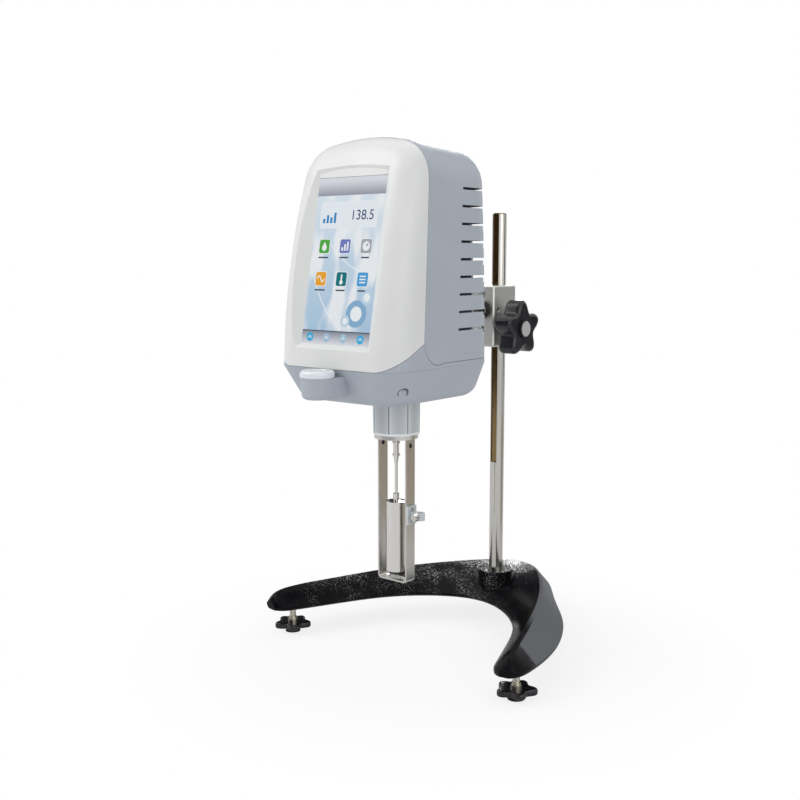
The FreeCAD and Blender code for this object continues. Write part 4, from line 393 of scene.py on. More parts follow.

# %% [markdown]
# ## The painted casting
# The base is cast iron in thick black wrinkle enamel, wet-looking, with lumps that catch the
# light on the upper side. Its outer wall is smooth and shows as grey, as far as the tips of
# the arms, and where the wall turns to face upwards it is a lighter grey, a painted highlight.
# One material does both: the surface's own direction, set against the middle of the arc, tells
# wall from top. The base never moves, so the masks may use the world's coordinates.

# %% Black top, grey wall and its painted highlight
WALL_GREY = (0.052, 0.055, 0.062)
EDGE_HIGHLIGHT_GREY = (0.12, 0.124, 0.132)
ENAMEL_BLACK = (0.004, 0.004, 0.005)
ARC_MIDDLE = (0, 0.02, 0)
LEVEL_ONLY = (1, 1, 0)
TIP_LINE = -0.055
LIP_HEIGHT = 0.0285
enamel_tree, enamel_shader = open_finish("cast_base", ENAMEL_BLACK, 0.24)[1:]
surface = enamel_tree.nodes.new("ShaderNodeNewGeometry").outputs
outwards = add_vector(enamel_tree, "SUBTRACT", surface["Position"], ARC_MIDDLE)
outwards = add_vector(enamel_tree, "MULTIPLY", outwards, LEVEL_ONLY)
outwards = add_vector(enamel_tree, "NORMALIZE", outwards)
facing = add_vector(enamel_tree, "DOT_PRODUCT", outwards, surface["Normal"])
enamel_spot = split(enamel_tree, surface["Position"])
behind_tip = add_step(enamel_tree, enamel_spot["Y"], TIP_LINE - 0.002, TIP_LINE + 0.002)
outer_wall = add_math(enamel_tree, "MULTIPLY", add_step(enamel_tree, facing, 0.3, 0.4), behind_tip)
# Where the wall turns to face upwards it gets the lighter edge grey, a painted highlight.
upright = add_step(enamel_tree, split(enamel_tree, surface["Normal"])["Z"], 0.4, 0.2)
wall_grey_and_highlight = add_mix(enamel_tree, upright, EDGE_HIGHLIGHT_GREY, WALL_GREY)
inner_lip = add_math(enamel_tree, "MULTIPLY", add_step(enamel_tree, facing, -0.4, -0.5),
                     add_step(enamel_tree, enamel_spot["Z"], LIP_HEIGHT, LIP_HEIGHT - 0.001))
grey_part = add_math(enamel_tree, "MAXIMUM", outer_wall, inner_lip)
enamel_tree.links.new(add_mix(enamel_tree, grey_part, ENAMEL_BLACK, wall_grey_and_highlight),
                      enamel_shader.inputs["Base Color"])
print("nodes that paint the enamel:", len(enamel_tree.nodes))

# %% [markdown]
# Wrinkle enamel sparkles, because each lump has one small spot that mirrors a lamp. Bump alone
# is too even for that, so the crests of the same noise also get a stronger mirror shine, in
# patches, and the hollows hardly any.

# %% Wrinkles and sparkle
WRINKLE_MM, WRINKLE_DEPTH_MM = 1.7, 0.36
PATCH_MM = 20
LEAST_SHINE, MORE_SHINE = 0.07, 1.5
TOP_ROUGHNESS, MORE_ON_WALL = 0.16, 0.3
black_part = add_math(enamel_tree, "SUBTRACT", 1.0, outer_wall)
on_arms = add_step(enamel_tree, enamel_spot["Y"], TIP_LINE - 0.01, TIP_LINE + 0.015)
wrinkles = add_grain(enamel_tree, WRINKLE_MM, detail=1.0)
add_bump(enamel_tree, enamel_shader, add_math(enamel_tree, "MULTIPLY", wrinkles, black_part),
         WRINKLE_DEPTH_MM)
bright_patch = add_step(enamel_tree, add_grain(enamel_tree, PATCH_MM, detail=1.0), 0.3, 0.75)
crests = add_step(enamel_tree, wrinkles, 0.5, 0.66)
sparkle = add_math(enamel_tree, "MULTIPLY", black_part, on_arms)
for mask in (crests, bright_patch):
    sparkle = add_math(enamel_tree, "MULTIPLY", sparkle, mask)
shine = add_math(enamel_tree, "ADD", LEAST_SHINE,
                 add_math(enamel_tree, "MULTIPLY", sparkle, MORE_SHINE))
enamel_tree.links.new(shine, enamel_shader.inputs["Specular IOR Level"])
roughness = add_math(enamel_tree, "ADD", TOP_ROUGHNESS,
                     add_math(enamel_tree, "MULTIPLY", outer_wall, MORE_ON_WALL))
enamel_tree.links.new(roughness, enamel_shader.inputs["Roughness"])
print("nodes in the enamel:", len(enamel_tree.nodes))

# %% [markdown]
# ## Painted reflection in the channel and painted light on the faceted collar
# The channel in the pole guides the clamp. Its floor is painted brown, a painted reflection of
# the shaded rear of the head, so the pole's material asks how far a point is from the pole's own
# axis: inside the channel that is less than the radius. The collar has eight glossy flats. Each
# edge gets a painted dark line of shade beside a painted pale highlight, and the foot gets a
# pale lip, a painted highlight. These masks use the solid's own coordinates, so that the collar
# keeps its painted bands when the head moves.

# %% Channel painted with a dark reflection
def box_of(node):
    """The corners of one solid's box in its own coordinates, which move with it."""
    return [Vector(corner) for corner in frame["nodes"][node].bound_box]


def from_axis(tree, node):
    """The level vector from a solid's upright axis to its surface, and the height there."""
    corners = box_of(node)
    axis_y = sum(corner.y for corner in corners) / len(corners)
    spot = tree.nodes.new("ShaderNodeTexCoord").outputs["Object"]
    offset = add_vector(tree, "SUBTRACT", spot, (0, axis_y, 0))
    return add_vector(tree, "MULTIPLY", offset, LEVEL_ONLY), split(tree, spot)["Z"]


def paint_over(tree, mask, colour):
    """Lays one more colour over what a finish already has, where the mask is 1."""
    base = tree.nodes["Principled BSDF"].inputs["Base Color"]
    tree.links.new(add_mix(tree, mask, base.links[0].from_socket, colour), base)


POLE_RADIUS = 0.007
CHANNEL_FOOT = 0.1665
# Brown of the painted reflection on the channel's floor.
CHANNEL_PAINTED_REFLECTION = (0.22, 0.15, 0.07)
pole_tree = pole_steel.node_tree
pole_offset, pole_height = from_axis(pole_tree, "pole")
sunk = add_step(pole_tree, add_vector(pole_tree, "LENGTH", pole_offset),
                POLE_RADIUS - 0.0001, POLE_RADIUS - 0.0004)
above_foot = add_step(pole_tree, pole_height, CHANNEL_FOOT, CHANNEL_FOOT + 0.0005)
# Paint the channel's floor brown: a painted reflection of the shaded rear of the head.
paint_over(pole_tree, add_math(pole_tree, "MULTIPLY", sunk, above_foot), CHANNEL_PAINTED_REFLECTION)
print("channel painted with a dark reflection from", CHANNEL_FOOT, "m up")

# %% [markdown]
# The angle round the collar's axis, counted in flats from an edge, leaves a fraction that goes
# from 0 to 1 along each flat. A colour ramp turns that fraction into bands of painted shade and
# painted highlight beside each edge.

# %% Painted shade and highlight bands, and painted lip highlight, of the collar
FLATS = 8
# Tones across each flat: a painted dark line of shade and a painted pale highlight at each edge.
EDGE_SHADE_HIGHLIGHT_STOPS = ((0.0, 0.16), (0.02, 0.2), (0.06, 0.72), (0.16, 0.6), (0.5, 0.5), (0.84, 0.56),
              (0.95, 0.66), (0.98, 0.3))
LIP_HIGHLIGHT_WHITE = (0.86, 0.88, 0.9)
LIP_TALL = 0.0022
collar_tree = collar_grey.node_tree
collar_offset, collar_height = from_axis(collar_tree, "collar")
level_parts = split(collar_tree, collar_offset)
angle = add_math(collar_tree, "ARCTAN2", level_parts["Y"], level_parts["X"])
from_edge = add_math(collar_tree, "ADD", angle, (FLATS + 1) * math.pi / FLATS)
flat_count = add_math(collar_tree, "DIVIDE", from_edge, 2 * math.pi / FLATS)
bands = collar_tree.nodes.new("ShaderNodeValToRGB")
while len(bands.color_ramp.elements) < len(EDGE_SHADE_HIGHLIGHT_STOPS):
    bands.color_ramp.elements.new(0.5)
for stop, (place, tone) in zip(bands.color_ramp.elements, EDGE_SHADE_HIGHLIGHT_STOPS):
    stop.position = place
    stop.color = (tone * 0.96, tone, tone * 1.03, 1)
collar_tree.links.new(add_math(collar_tree, "FRACT", flat_count, 0.0), bands.inputs["Fac"])
collar_tree.links.new(bands.outputs["Color"],
                      collar_tree.nodes["Principled BSDF"].inputs["Base Color"])
collar_foot = min(corner.z for corner in box_of("collar"))
on_lip = add_step(collar_tree, collar_height, collar_foot + LIP_TALL,
                  collar_foot + LIP_TALL - 0.0006)
# A pale band round the foot: a painted highlight on the lip.
paint_over(collar_tree, on_lip, LIP_HIGHLIGHT_WHITE)
print("collar foot at z =", round(collar_foot, 4))

# %% [markdown]
# ## Glass
# The display glass is dark and glossy, and its lit picture is laid on it later. The level is a
# tinted drop of liquid under a clear dome.

# %% Glass finishes
def clear_glass(name, colour, roughness):
    """Glass that light passes straight through, a little smeared."""
    finish, tree, shader = open_finish(name, colour, roughness)
    shader.inputs["Transmission Weight"].default_value = 1.0
    shader.inputs["IOR"].default_value = 1.45
    vary_gloss(tree, shader, 20, roughness, roughness + 0.04)
    return finish


clear_glass("vial_glass", (0.8, 0.9, 0.5), 0.02)
moulded_plastic("screen_glass", (0.03, 0.04, 0.06), 0.08, depth_mm=0.001, coat=0.5)

# %% [markdown]
# ## Dressing the solids
# The record names a slot for every solid, and each finish has the name of its slot.

# %% Give each solid its finish
finishes = {item.name: item for item in bpy.data.materials}
slots = {row["node"]: row["material_slot"] for row in frame["record"]["subparts"]}
for node, solid in frame["nodes"].items():
    solid.data.materials.clear()
    solid.data.materials.append(finishes[slots[node]])
print("dressed solids:", len(frame["nodes"]))

# %% [markdown]
# ## Tools for the small pieces
# The fine pieces are short meshes. Each helper makes one kind: a flat shape, a turned shape,
# a block or a screw thread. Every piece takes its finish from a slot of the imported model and
# then rides on the body that carries it, so that it follows the joints.

# %% Helpers for pieces
def place_piece(name, points, faces, slot_name, body, finish=None, smooth=False):
    """A mesh in the row frame that rides on one body; the points are in millimetres."""
    mesh = bpy.data.meshes.new(name)
    mesh.from_pydata([[value * MM for value in point] for point in points], [], faces)
    mesh.update()
    for face in mesh.polygons:
        face.use_smooth = smooth
    mesh.materials.append(finish or finishes[slot_name])
    piece = bpy.data.objects.new(name, mesh)
    bpy.context.scene.collection.objects.link(piece)
    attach(piece, body)
    return piece


def turned(name, outline, spot, slot_name, body, steps=64, finish=None):
    """A turned piece: the outline's (radius, height) points go round an upright axis."""
    points, faces = [], []
    count = len(outline)
    for step in range(steps):
        angle = 2 * math.pi * step / steps
        for radius, height in outline:
            offset = (radius * math.cos(angle), radius * math.sin(angle), height)
            points.append([a + b for a, b in zip(spot, offset)])
    for step in range(steps):
        here, there = step * count, (step + 1) % steps * count
        for index in range(count - 1):
            faces.append((here + index, there + index, there + index + 1, here + index + 1))
    return place_piece(name, points, faces, slot_name, body, finish, smooth=True)


def thread(name, spot, radius, low, high, pitch, slot_name, body, axis="Z", depth=0.3):
    """A screw thread: a ridge that winds round an axis from low to high."""
    per_turn = 24
    turns = (high - low) / pitch
    points, faces = [], []
    total = int(turns * per_turn)
    for step in range(total + 1):
        angle = 2 * math.pi * step / per_turn
        height = low + pitch * step / per_turn
        fade = min(1.0, step / per_turn, (total - step) / per_turn)
        for reach, lift in ((-0.1, -0.32), (depth * fade, 0), (-0.1, 0.32)):
            across = (radius + reach) * math.cos(angle)
            along = (radius + reach) * math.sin(angle)
            rise = height + lift * pitch
            offset = (rise, across, along) if axis == "X" else (across, along, rise)
            points.append([a + b for a, b in zip(spot, offset)])
    for step in range(total):
        here, there = 3 * step, 3 * (step + 1)
        for index in range(3):
            after = (index + 1) % 3
            faces.append((here + index, there + index, there + after, here + after))
    return place_piece(name, points, faces, slot_name, body, smooth=True)


def box_points(low, high):
    """Corners and faces of a block between two corners."""
    points = [(x, y, z) for x in (low[0], high[0]) for y in (low[1], high[1])
              for z in (low[2], high[2])]
    faces = [(0, 1, 3, 2), (4, 6, 7, 5), (0, 4, 5, 1), (2, 3, 7, 6), (0, 2, 6, 4), (1, 5, 7, 3)]
    return points, faces


# %% [markdown]
# ## The picture on the display
# A lit display is a picture under glass. Each part of the picture is a thin flat shape just in
# front of the glass, in the plane that leans back with it, so its edges stay sharp at any
# distance. The screen shows a plain made-up menu: a reading with small bars, six keys and a
# row of round buttons. The shapes glow a little, as a screen does, and still mirror the room.

# %% Where the display lies
AXIS_Y = -58.8
DISPLAY_Y = AXIS_Y - 81.5
DISPLAY_Z = 301.2
DISPLAY_LEAN = math.radians(10.2)
SCREEN_HALF = 38.7
SCREEN_TALL = 143.2
LAYER = 0.04


def on_screen(across, up, layer):
    """A point of the display's plane, lifted off the glass by a number of layers."""
    lift = layer * LAYER
    return (across,
            DISPLAY_Y + up * math.sin(DISPLAY_LEAN) - lift * math.cos(DISPLAY_LEAN),
            DISPLAY_Z + up * math.cos(DISPLAY_LEAN) + lift * math.sin(DISPLAY_LEAN))


def screen_colour(red, green, blue):
    """A colour named by its 0 to 255 screen values, as a linear one."""
    return tuple((value / 255) ** 2.2 for value in (red, green, blue))


def lit(name, colour, glow=0.79):
    """A glowing part of the picture, behind glossy glass."""
    finish, tree, shader = open_finish(name, shaded(colour, 0.05), 0.12)
    shader.inputs["Emission Color"].default_value = (*colour, 1)
    shader.inputs["Emission Strength"].default_value = glow
    shader.inputs["Specular IOR Level"].default_value = 0.35
    vary_gloss(tree, shader, 16, 0.1, 0.18)
    return finish


def lit_blend(name, low_colour, high_colour, low_up, high_up, glow=0.79):
    """A glowing part whose colour changes from one height on the screen to another."""
    finish, tree, shader = open_finish(name, (0.03, 0.03, 0.04), 0.14)
    spot = split(tree, tree.nodes.new("ShaderNodeTexCoord").outputs["Object"])
    part_way = add_range(tree, spot["Z"], on_screen(0, low_up, 0)[2] * MM,
                         on_screen(0, high_up, 0)[2] * MM, 0.0, 1.0)
    blend = tint_between(tree, part_way, shader.inputs["Emission Color"], low_colour,
                         high_colour, 0.0, 1.0)
    shader.inputs["Emission Strength"].default_value = glow
    shader.inputs["Specular IOR Level"].default_value = 0.35
    return finish, tree, shader, blend


def screen_shape(name, outline, layer, finish):
    """A flat shape of the picture, given by the points of its outline."""
    points = [on_screen(across, up, layer) for across, up in outline]
    return place_piece(name, points, [tuple(range(len(points)))], "screen_glass", "head", finish)


def rounded(across, up, wide, tall, corner, steps=6):
    """Outline of a rectangle with round corners, about its middle."""
    outline = []
    for turn, (sign_x, sign_y) in enumerate(((1, 1), (-1, 1), (-1, -1), (1, -1))):
        for step in range(steps + 1):
            angle = math.pi / 2 * (turn + step / steps)
            outline.append((across + sign_x * (wide / 2 - corner) + corner * math.cos(angle),
                            up + sign_y * (tall / 2 - corner) + corner * math.sin(angle)))
    return outline


def disc(across, up, radius, steps=36):
    """Outline of a disc."""
    return [(across + radius * math.cos(2 * math.pi * step / steps),
             up + radius * math.sin(2 * math.pi * step / steps)) for step in range(steps)]


def stroke(name, line, width, layer, finish):
    """A line of even width through some points of the picture."""
    sides = ([], [])
    for index, (across, up) in enumerate(line):
        before = line[max(index - 1, 0)]
        after = line[min(index + 1, len(line) - 1)]
        run = math.hypot(after[0] - before[0], after[1] - before[1])
        normal = ((before[1] - after[1]) / run, (after[0] - before[0]) / run)
        for side, sign in zip(sides, (0.5, -0.5)):
            side.append((across + sign * width * normal[0], up + sign * width * normal[1]))
    points = [on_screen(*spot, layer) for side in sides for spot in side]
    count = len(line)
    faces = [(i, i + 1, count + i + 1, count + i) for i in range(count - 1)]
    return place_piece(name, points, faces, "screen_glass", "head", finish)


# %% [markdown]
# The wallpaper is a pale sky with streaks of cloud. The bars above and below it are shaded
# from light to dark, as the bars of older menus were.

# %% The wallpaper and the two bars
SKY_HIGH = screen_colour(224, 238, 247)
SKY_LOW = screen_colour(170, 202, 228)
BAR_TALL = 15.5
LOW_BAR_TALL = 11.5
wallpaper, paper_tree, paper_shader, sky = lit_blend("screen_wallpaper", SKY_LOW, SKY_HIGH,
                                                     8, 128)
streaks = add_grain(paper_tree, 24, stretch=(1.6, 1, 0.5), detail=1.0)
veil = add_range(paper_tree, streaks, 0.46, 0.62, 0.0, 0.9)
paper_tree.links.new(add_mix(paper_tree, veil, sky, screen_colour(250, 253, 255)),
                     paper_shader.inputs["Emission Color"])
screen_shape("screen_wallpaper", rounded(0, SCREEN_TALL / 2, 2 * SCREEN_HALF, SCREEN_TALL, 0.4),
             1, wallpaper)
top_bar = lit_blend("screen_top_bar", screen_colour(150, 152, 166), screen_colour(226, 229, 236),
                    SCREEN_TALL - BAR_TALL, SCREEN_TALL - 3)[0]
screen_shape("screen_top_bar", rounded(0, SCREEN_TALL - BAR_TALL / 2, 2 * SCREEN_HALF, BAR_TALL,
                                       0.2), 2, top_bar)
low_bar = lit_blend("screen_low_bar", screen_colour(232, 234, 240), screen_colour(128, 134, 150),
                    0, LOW_BAR_TALL)[0]
screen_shape("screen_low_bar", rounded(0, LOW_BAR_TALL / 2, 2 * SCREEN_HALF, LOW_BAR_TALL, 0.2),
             2, low_bar)
screen_shape("screen_low_line", rounded(0, LOW_BAR_TALL, 2 * SCREEN_HALF, 0.7, 0.1), 3,
             lit("screen_line", screen_colour(60, 66, 84)))

# %% [markdown]
# Rings and two thin sweeps break the plain sky. Shapes that overlap lie on layers of their
# own, so that they don't flicker.

# %% Soft circles in the wallpaper
pale_ring = lit("screen_ring_pale", screen_colour(196, 219, 238))
mid_ring = lit("screen_ring_mid", screen_colour(140, 180, 214))
white_disc = lit("screen_disc_white", screen_colour(244, 249, 253))
for number, (across, up, radius, outer) in enumerate((
        (21, 27, 11.5, mid_ring), (31, 41, 6.5, pale_ring), (9.5, 20.5, 5.0, pale_ring))):
    screen_shape("screen_ring_%d" % number, disc(across, up, radius), 2 + number, outer)
    screen_shape("screen_ring_middle_%d" % number, disc(across, up, radius * 0.55), 5,
                 white_disc)
for number, (start, end) in enumerate((((-38, 66), (4, 13)), ((-20, 88), (38, 60)))):
    line = []
    for step in range(13):
        part = step / 12
        sag = 7 * math.sin(math.pi * part)
        line.append((start[0] + (end[0] - start[0]) * part,
                     start[1] + (end[1] - start[1]) * part - sag))
    stroke("screen_sweep_%d" % number, line, 0.9, 2, white_disc)

# %% [markdown]
# The reading is the only writing on the screen, and it is a number. Its digits are cut out of
# the built-in typeface and laid on the plane of the display.

# %% The reading and its bars
deep_blue = lit("screen_deep_blue", screen_colour(38, 62, 108))
panel_white = lit("screen_panel_white", screen_colour(238, 245, 251))
READING_UP = 111
screen_shape("screen_reading_panel", rounded(0, READING_UP, 66, 23, 3), 4, panel_white)


def screen_number(name, digits, across, up, tall, finish):
    """Digits on the screen, cut out of the built-in typeface."""
    words = bpy.data.curves.new(name, "FONT")
    words.body = digits
    words.size = tall
    words.align_x = "RIGHT"
    holder = bpy.data.objects.new(name + "_words", words)
    bpy.context.scene.collection.objects.link(holder)
    shape = bpy.data.meshes.new_from_object(
        holder.evaluated_get(bpy.context.evaluated_depsgraph_get()))
    points = [on_screen(across + spot.co.x, up + spot.co.y, 6) for spot in shape.vertices]
    faces = [tuple(face.vertices) for face in shape.polygons]
    bpy.data.objects.remove(holder)
    return place_piece(name, points, faces, "screen_glass", "head", finish)


screen_number("screen_reading", "138.5", 29, READING_UP - 4.5, 12, deep_blue)
bar_blue = lit("screen_bar_blue", screen_colour(64, 140, 200))
for number, length in enumerate((4, 7, 5, 9)):
    screen_shape("screen_level_bar_%d" % number,
                 rounded(-28 + 4.2 * number, READING_UP - 7 + length / 2, 2.6, length, 0.4), 5,
                 bar_blue)

# %% [markdown]
# Each key is a coloured square with a pale rim, a simple sign and a grey line where a caption
# would be. One short function draws each sign.

# %% Six keys with their signs
KEY_SIZE = 13
KEY_COLUMNS = (-24, 0, 24)
KEY_ROWS = (84, 56)
KEY_RIM = 1.2
CAPTION_DROP = 9.6
key_colours = {
    "green": (86, 176, 74), "violet": (118, 128, 196), "grey": (168, 174, 184),
    "amber": (240, 168, 52), "teal": (36, 120, 130), "sky": (84, 164, 222)}
key_finishes = {name: lit("screen_key_" + name, screen_colour(*value))
                for name, value in key_colours.items()}
key_edge = lit("screen_key_edge", screen_colour(246, 250, 253))
caption_grey = lit("screen_caption", screen_colour(74, 88, 108))


def sign_drop(across, up, tag):
    """A drop of liquid."""
    outline = [(across, up + 4)] + [
        (across + 2.7 * math.cos(angle), up - 1.2 + 2.7 * math.sin(angle))
        for angle in (math.radians(30 - 12 * step) for step in range(21))]
    screen_shape("screen_sign_drop" + tag, outline, 7, key_edge)


def sign_bars(across, up, tag):
    """Three bars of a chart."""
    for number, tall in enumerate((3, 5.5, 7.5)):
        screen_shape("screen_sign_bar%s_%d" % (tag, number),
                     rounded(across - 3 + 3 * number, up - 3.8 + tall / 2, 1.9, tall, 0.3), 7,
                     key_edge)


def sign_wave(across, up, tag):
    """A wave."""
    line = [(across + 4 * (step / 12 - 1), up + 2.6 * math.sin(math.pi * step / 12))
            for step in range(25)]
    stroke("screen_sign_wave" + tag, line, 1.1, 7, key_edge)


def sign_dial(across, up, tag):
    """A dial with its hand."""
    screen_shape("screen_sign_dial" + tag, disc(across, up, 4), 7, key_edge)
    stroke("screen_sign_hand" + tag, [(across, up), (across + 1.9, up + 2.2)], 0.9, 8,
           caption_grey)


def sign_glass(across, up, tag):
    """A thermometer."""
    screen_shape("screen_sign_bulb" + tag, disc(across, up - 2.7, 1.9), 7, key_edge)
    screen_shape("screen_sign_stem" + tag, rounded(across, up + 0.6, 1.7, 7, 0.8), 7, key_edge)


def sign_list(across, up, tag):
    """Three lines of a list."""
    for number in range(3):
        screen_shape("screen_sign_line%s_%d" % (tag, number),
                     rounded(across, up + 2.6 - 2.6 * number, 7, 1.1, 0.4), 7, key_edge)


KEYS = (("green", sign_drop), ("violet", sign_bars), ("grey", sign_dial),
        ("amber", sign_wave), ("teal", sign_glass), ("sky", sign_list))
for number, (colour, draw_sign) in enumerate(KEYS):
    across = KEY_COLUMNS[number % 3]
    up = KEY_ROWS[number // 3]
    screen_shape("screen_key_rim_%d" % number, rounded(across, up, KEY_SIZE, KEY_SIZE, 2.2), 5,
                 key_edge)
    screen_shape("screen_key_%d" % number,
                 rounded(across, up, KEY_SIZE - KEY_RIM, KEY_SIZE - KEY_RIM, 1.8), 6,
                 key_finishes[colour])
    draw_sign(across, up, "_%d" % number)
    screen_shape("screen_caption_%d" % number,
                 rounded(across, up - CAPTION_DROP, 12 - number % 3 * 1.5, 1.3, 0.5), 5,
                 caption_grey)

# %% [markdown]
# The low bar holds four round buttons, and the first and the last are a stronger blue.

# %% Round buttons along the foot
button_blue = lit("screen_button", screen_colour(70, 178, 226))
button_pale = lit("screen_button_pale", screen_colour(170, 200, 224))
BUTTON_FIRST, BUTTON_STEP, BUTTON_RADIUS = -29, 19.3, 3.9
button_up = LOW_BAR_TALL / 2
for number in range(4):
    across = BUTTON_FIRST + BUTTON_STEP * number
    chosen = number in (0, 3)
    screen_shape("screen_button_%d" % number, disc(across, button_up, BUTTON_RADIUS), 4,
                 button_blue if chosen else button_pale)
    stroke("screen_button_sign_%d" % number,
           [(across - 1.8, button_up - 0.9), (across, button_up + 1.2),
            (across + 1.8, button_up - 0.9)], 0.9, 5, key_edge)

# %% [markdown]
# ## The level in the nose
# The round level sits under a soft cap. The cap is turned plastic with a generous rounding, and
# the lens over the liquid is a shallow dome. Inside, a bubble floats under a printed ring.

# %% Cap, lens, bubble and ring
NOSE_Y = AXIS_Y - 102
CAP_FOOT = 275.2
CAP_TOP = 281.5
CAP_RADIUS = 14.8
LENS_RADIUS = 7.4
CAP_ROUND = 3.2


def quarter(middle_radius, middle_height, radius, start, end, steps=8):
    """Points of a rounding in a turned outline, between two angles in degrees."""
    return [(middle_radius + radius * math.cos(math.radians(start + (end - start) * i / steps)),
             middle_height + radius * math.sin(math.radians(start + (end - start) * i / steps)))
            for i in range(steps + 1)]


cap_outline = [(LENS_RADIUS + 1.6, CAP_FOOT), (CAP_RADIUS - 0.8, CAP_FOOT),
               (CAP_RADIUS, CAP_FOOT + 0.8)]
cap_outline += quarter(CAP_RADIUS - CAP_ROUND, CAP_TOP - CAP_ROUND, CAP_ROUND, 0, 80)
cap_outline += [(LENS_RADIUS + 0.6, CAP_TOP), (LENS_RADIUS, CAP_TOP - 0.8),
                (LENS_RADIUS, CAP_TOP - 2.0), (LENS_RADIUS + 1.6, CAP_TOP - 2.4),
                (LENS_RADIUS + 1.6, CAP_FOOT)]
cap_gloss = moulded_plastic("level_cap_gloss", (0.74, 0.78, 0.81), 0.16, depth_mm=0.004, coat=0.6)
level_cap = turned("level_cap_soft", cap_outline, (0, NOSE_Y, 0), slots["level_cap"], "head",
                   steps=96, finish=cap_gloss)
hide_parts("level_cap")
lens_outline = [(0.0, CAP_TOP - 0.5), (3.0, CAP_TOP - 0.62), (5.6, CAP_TOP - 1.0),
                (LENS_RADIUS - 0.05, CAP_TOP - 1.6), (LENS_RADIUS - 0.05, CAP_TOP - 1.9),
                (0.0, CAP_TOP - 1.9)]
turned("level_lens", lens_outline, (0, NOSE_Y, 0), "vial_glass", "head")
ring_ink = moulded_plastic("level_ring_ink", (0.02, 0.02, 0.02), 0.5)
RING_HEIGHT = CAP_TOP - 2.02
turned("level_ring", [(2.6, RING_HEIGHT), (2.95, RING_HEIGHT)], (0, NOSE_Y, 0), "vial_glass",
       "head", finish=ring_ink)
bubble_glass = clear_glass("level_bubble", (0.97, 0.99, 0.94), 0.02)
BUBBLE_FOOT = 279.41
BUBBLE_RISE = ((0.0, 0.05), (1.5, 0.04), (2.1, 0.01), (1.5, 0.0), (0.0, 0.0))
turned("level_bubble", [(radius, BUBBLE_FOOT + rise) for radius, rise in BUBBLE_RISE],
       (0.4, NOSE_Y + 0.3, 0), "vial_glass", "head", finish=bubble_glass)
print("level made: cap, lens, ring and bubble at y =", round(NOSE_Y, 1), "mm")

# %% [markdown]
# ## Threads
# Threads are cut or rolled, and even where they are only a few millimetres long they tell the
# eye that a wheel or a knob screws in.

# %% Threads
FEET = {"left": (-135.5, -60.5), "right": (135.5, -60.5), "rear": (0, 147)}
STEM_RADIUS = 3.0
STEM_LOW, STEM_HIGH, STEM_PITCH = 15.2, 21.3, 1.0
for side, (x, y) in FEET.items():
    thread("levelling_thread_" + side, (x, y, 0), STEM_RADIUS, STEM_LOW, STEM_HIGH, STEM_PITCH,
           "screw_steel", "foot_" + side)
BLOCK_HALF = 13.0
KNOB_HEIGHT = 305
POLE_Y = 101.2
KNOB_SCREW_Y = POLE_Y - 12.3
KNOB_SCREW_RADIUS, KNOB_SCREW_PITCH = 4.0, 1.2
thread("clamp_thread", (0, KNOB_SCREW_Y, KNOB_HEIGHT), KNOB_SCREW_RADIUS, BLOCK_HALF + 0.3,
       BLOCK_HALF + 4.6, KNOB_SCREW_PITCH, "screw_steel", "knob", axis="X")
print("threads:", len(FEET) + 1)

# %% [markdown]
# ## Screw well and strap holes
# At its front corner the lower housing has a screw pillar, and the screw goes in from below
# through a well that breaks out of the rounded side as a small arch. The well is not cut: it
# is drawn as painted shade, a dark crescent that is wider on one side round a disc painted a
# darker grey than the housing. Its points are laid on the real skin, one by one. The holes of
# the straps are filled with flat black discs of painted shade.

# %% Painted shade in the screw well and strap holes
# Near-black for painted shade: it stands in for the shade in holes, recesses and sockets.
dark_recess = moulded_plastic("dark_recess", (0.01, 0.01, 0.011), 0.8)
MM_PER_METRE = 1000
WELL = Vector((61.0, -122.3, 263.4))
WELL_OUT = Vector((0.827, -0.307, -0.472))
WELL_UP = (Vector((0, 0, 1)) - WELL_OUT * WELL_OUT.z).normalized()
WELL_ACROSS = WELL_UP.cross(WELL_OUT).normalized()
HOUSING = frame["nodes"]["lower_housing"]


def on_housing(across, up, lift):
    """A point laid on the skin of the lower housing and lifted off it, in millimetres."""
    target = (WELL + WELL_ACROSS * across + WELL_UP * up) / MM_PER_METRE
    near = HOUSING.matrix_world.inverted() @ target
    spot, outwards_here = HOUSING.closest_point_on_mesh(near)[1:3]
    lifted = spot + outwards_here * lift / MM_PER_METRE
    return tuple((HOUSING.matrix_world @ lifted) * MM_PER_METRE)


def side_patch(x, y, z, radius, corners):
    """The corners of a flat many-sided patch that faces sideways."""
    turn = 2 * math.pi / corners
    return [(x, y + radius * math.cos(turn * corner), z + radius * math.sin(turn * corner))
            for corner in range(corners)]


ARCH_STEPS = 28
ARCH_FROM, ARCH_SWEEP = -38, 256
WELL_RADIUS = 5.0
WELL_OVAL = 1.06
arch_points, arch_faces, inner_points = [], [], []
for step in range(ARCH_STEPS + 1):
    angle = math.radians(ARCH_FROM + ARCH_SWEEP * step / ARCH_STEPS)
    dark = 0.9 + 1.3 * max(0.0, math.cos(angle - math.radians(35)))
    for reach in (WELL_RADIUS, WELL_RADIUS - dark):
        arch_points.append(on_housing(reach * WELL_OVAL * math.cos(angle),
                                      reach * math.sin(angle), 0.06))
    reach = WELL_RADIUS - 0.1
    inner_points.append(on_housing(reach * WELL_OVAL * math.cos(angle),
                                   reach * math.sin(angle), 0.03))
for step in range(ARCH_STEPS):
    arch_faces.append((2 * step, 2 * step + 1, 2 * step + 3, 2 * step + 2))
inner_points.append(on_housing(0, 0, 0.03))
inner_faces = [(step, step + 1, ARCH_STEPS + 1) for step in range(ARCH_STEPS)]
# The dark crescent and the darker grey disc are painted shade of the well.
well_shade = moulded_plastic("well_shade", (0.1, 0.11, 0.125), 0.6)
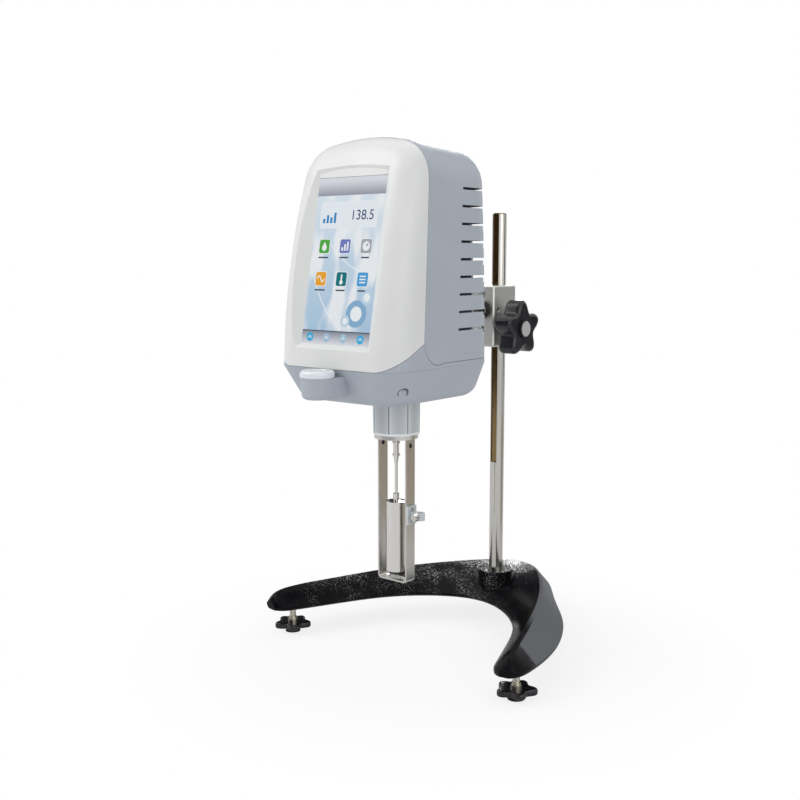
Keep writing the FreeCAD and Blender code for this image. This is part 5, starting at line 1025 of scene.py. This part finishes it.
well_grey = moulded_plastic("well_grey", (0.3, 0.325, 0.365), 0.5)
place_piece("screw_well_arch", arch_points, arch_faces, slots["lower_housing"], "head", well_shade)
place_piece("screw_well_face", inner_points, inner_faces, slots["lower_housing"], "head", well_grey)
SIDES = (("left", -1), ("right", 1))
HOLE_X, HOLE_Z, HOLE_RADIUS, HOLE_CORNERS = 16.2, 206.0, 2.2, 24
# Each strap hole gets a flat black disc of painted shade.
for side, sign in SIDES:
    hole_shade = side_patch(sign * HOLE_X, AXIS_Y, HOLE_Z, HOLE_RADIUS, HOLE_CORNERS)
    place_piece("strap_hole_plug_" + side, hole_shade, [tuple(range(HOLE_CORNERS))],
                slots["guard_leg"], "head", dark_recess)
print("points on the housing:", len(arch_points) + len(inner_points))

# %% [markdown]
# ## Cross recesses and sockets
# Four screws hold the housing from below, and each head has a cross recess. The two set screws
# in the sides of the clamp have a six-sided socket. Neither is cut: each is a flat dark shape of
# painted shade.

# %% Painted shade for cross recesses and sockets
CROSS_THIN = 0.28


def cross_recess(name, x, y, z, arm, body):
    """A cross recess seen from below, as two bars of painted shade just under the head."""
    points, faces = [], []
    for half_x, half_y in ((arm, arm * CROSS_THIN), (arm * CROSS_THIN, arm)):
        corners, sides = box_points((x - half_x, y - half_y, z - 0.05),
                                    (x + half_x, y + half_y, z + 0.3))
        faces += [tuple(index + len(points) for index in side) for side in sides]
        points += corners
    return place_piece(name, points, faces, "screw_steel", body, dark_recess)


SCREW_SPOTS = [(x, y) for x in (-40.0, 40.0) for y in (AXIS_Y - 49, AXIS_Y + 42)]
SCREW_FACE, SCREW_ARM = 259.0, 2.2
for number, (x, y) in enumerate(SCREW_SPOTS):
    cross_recess("housing_screw_cross_%d" % number, x, y, SCREW_FACE, SCREW_ARM, "head")
SOCKET_X, SOCKET_Y, SOCKET_Z, SOCKET_RADIUS = 12.03, 82.2, 323.0, 1.3
for side, sign in SIDES:
    # Each socket is a dark hexagon of painted shade.
    hexagon = side_patch(sign * SOCKET_X, SOCKET_Y, SOCKET_Z, SOCKET_RADIUS, 6)
    place_piece("set_screw_socket_" + side, hexagon, [tuple(range(6))], "screw_steel", "clamp",
                dark_recess)
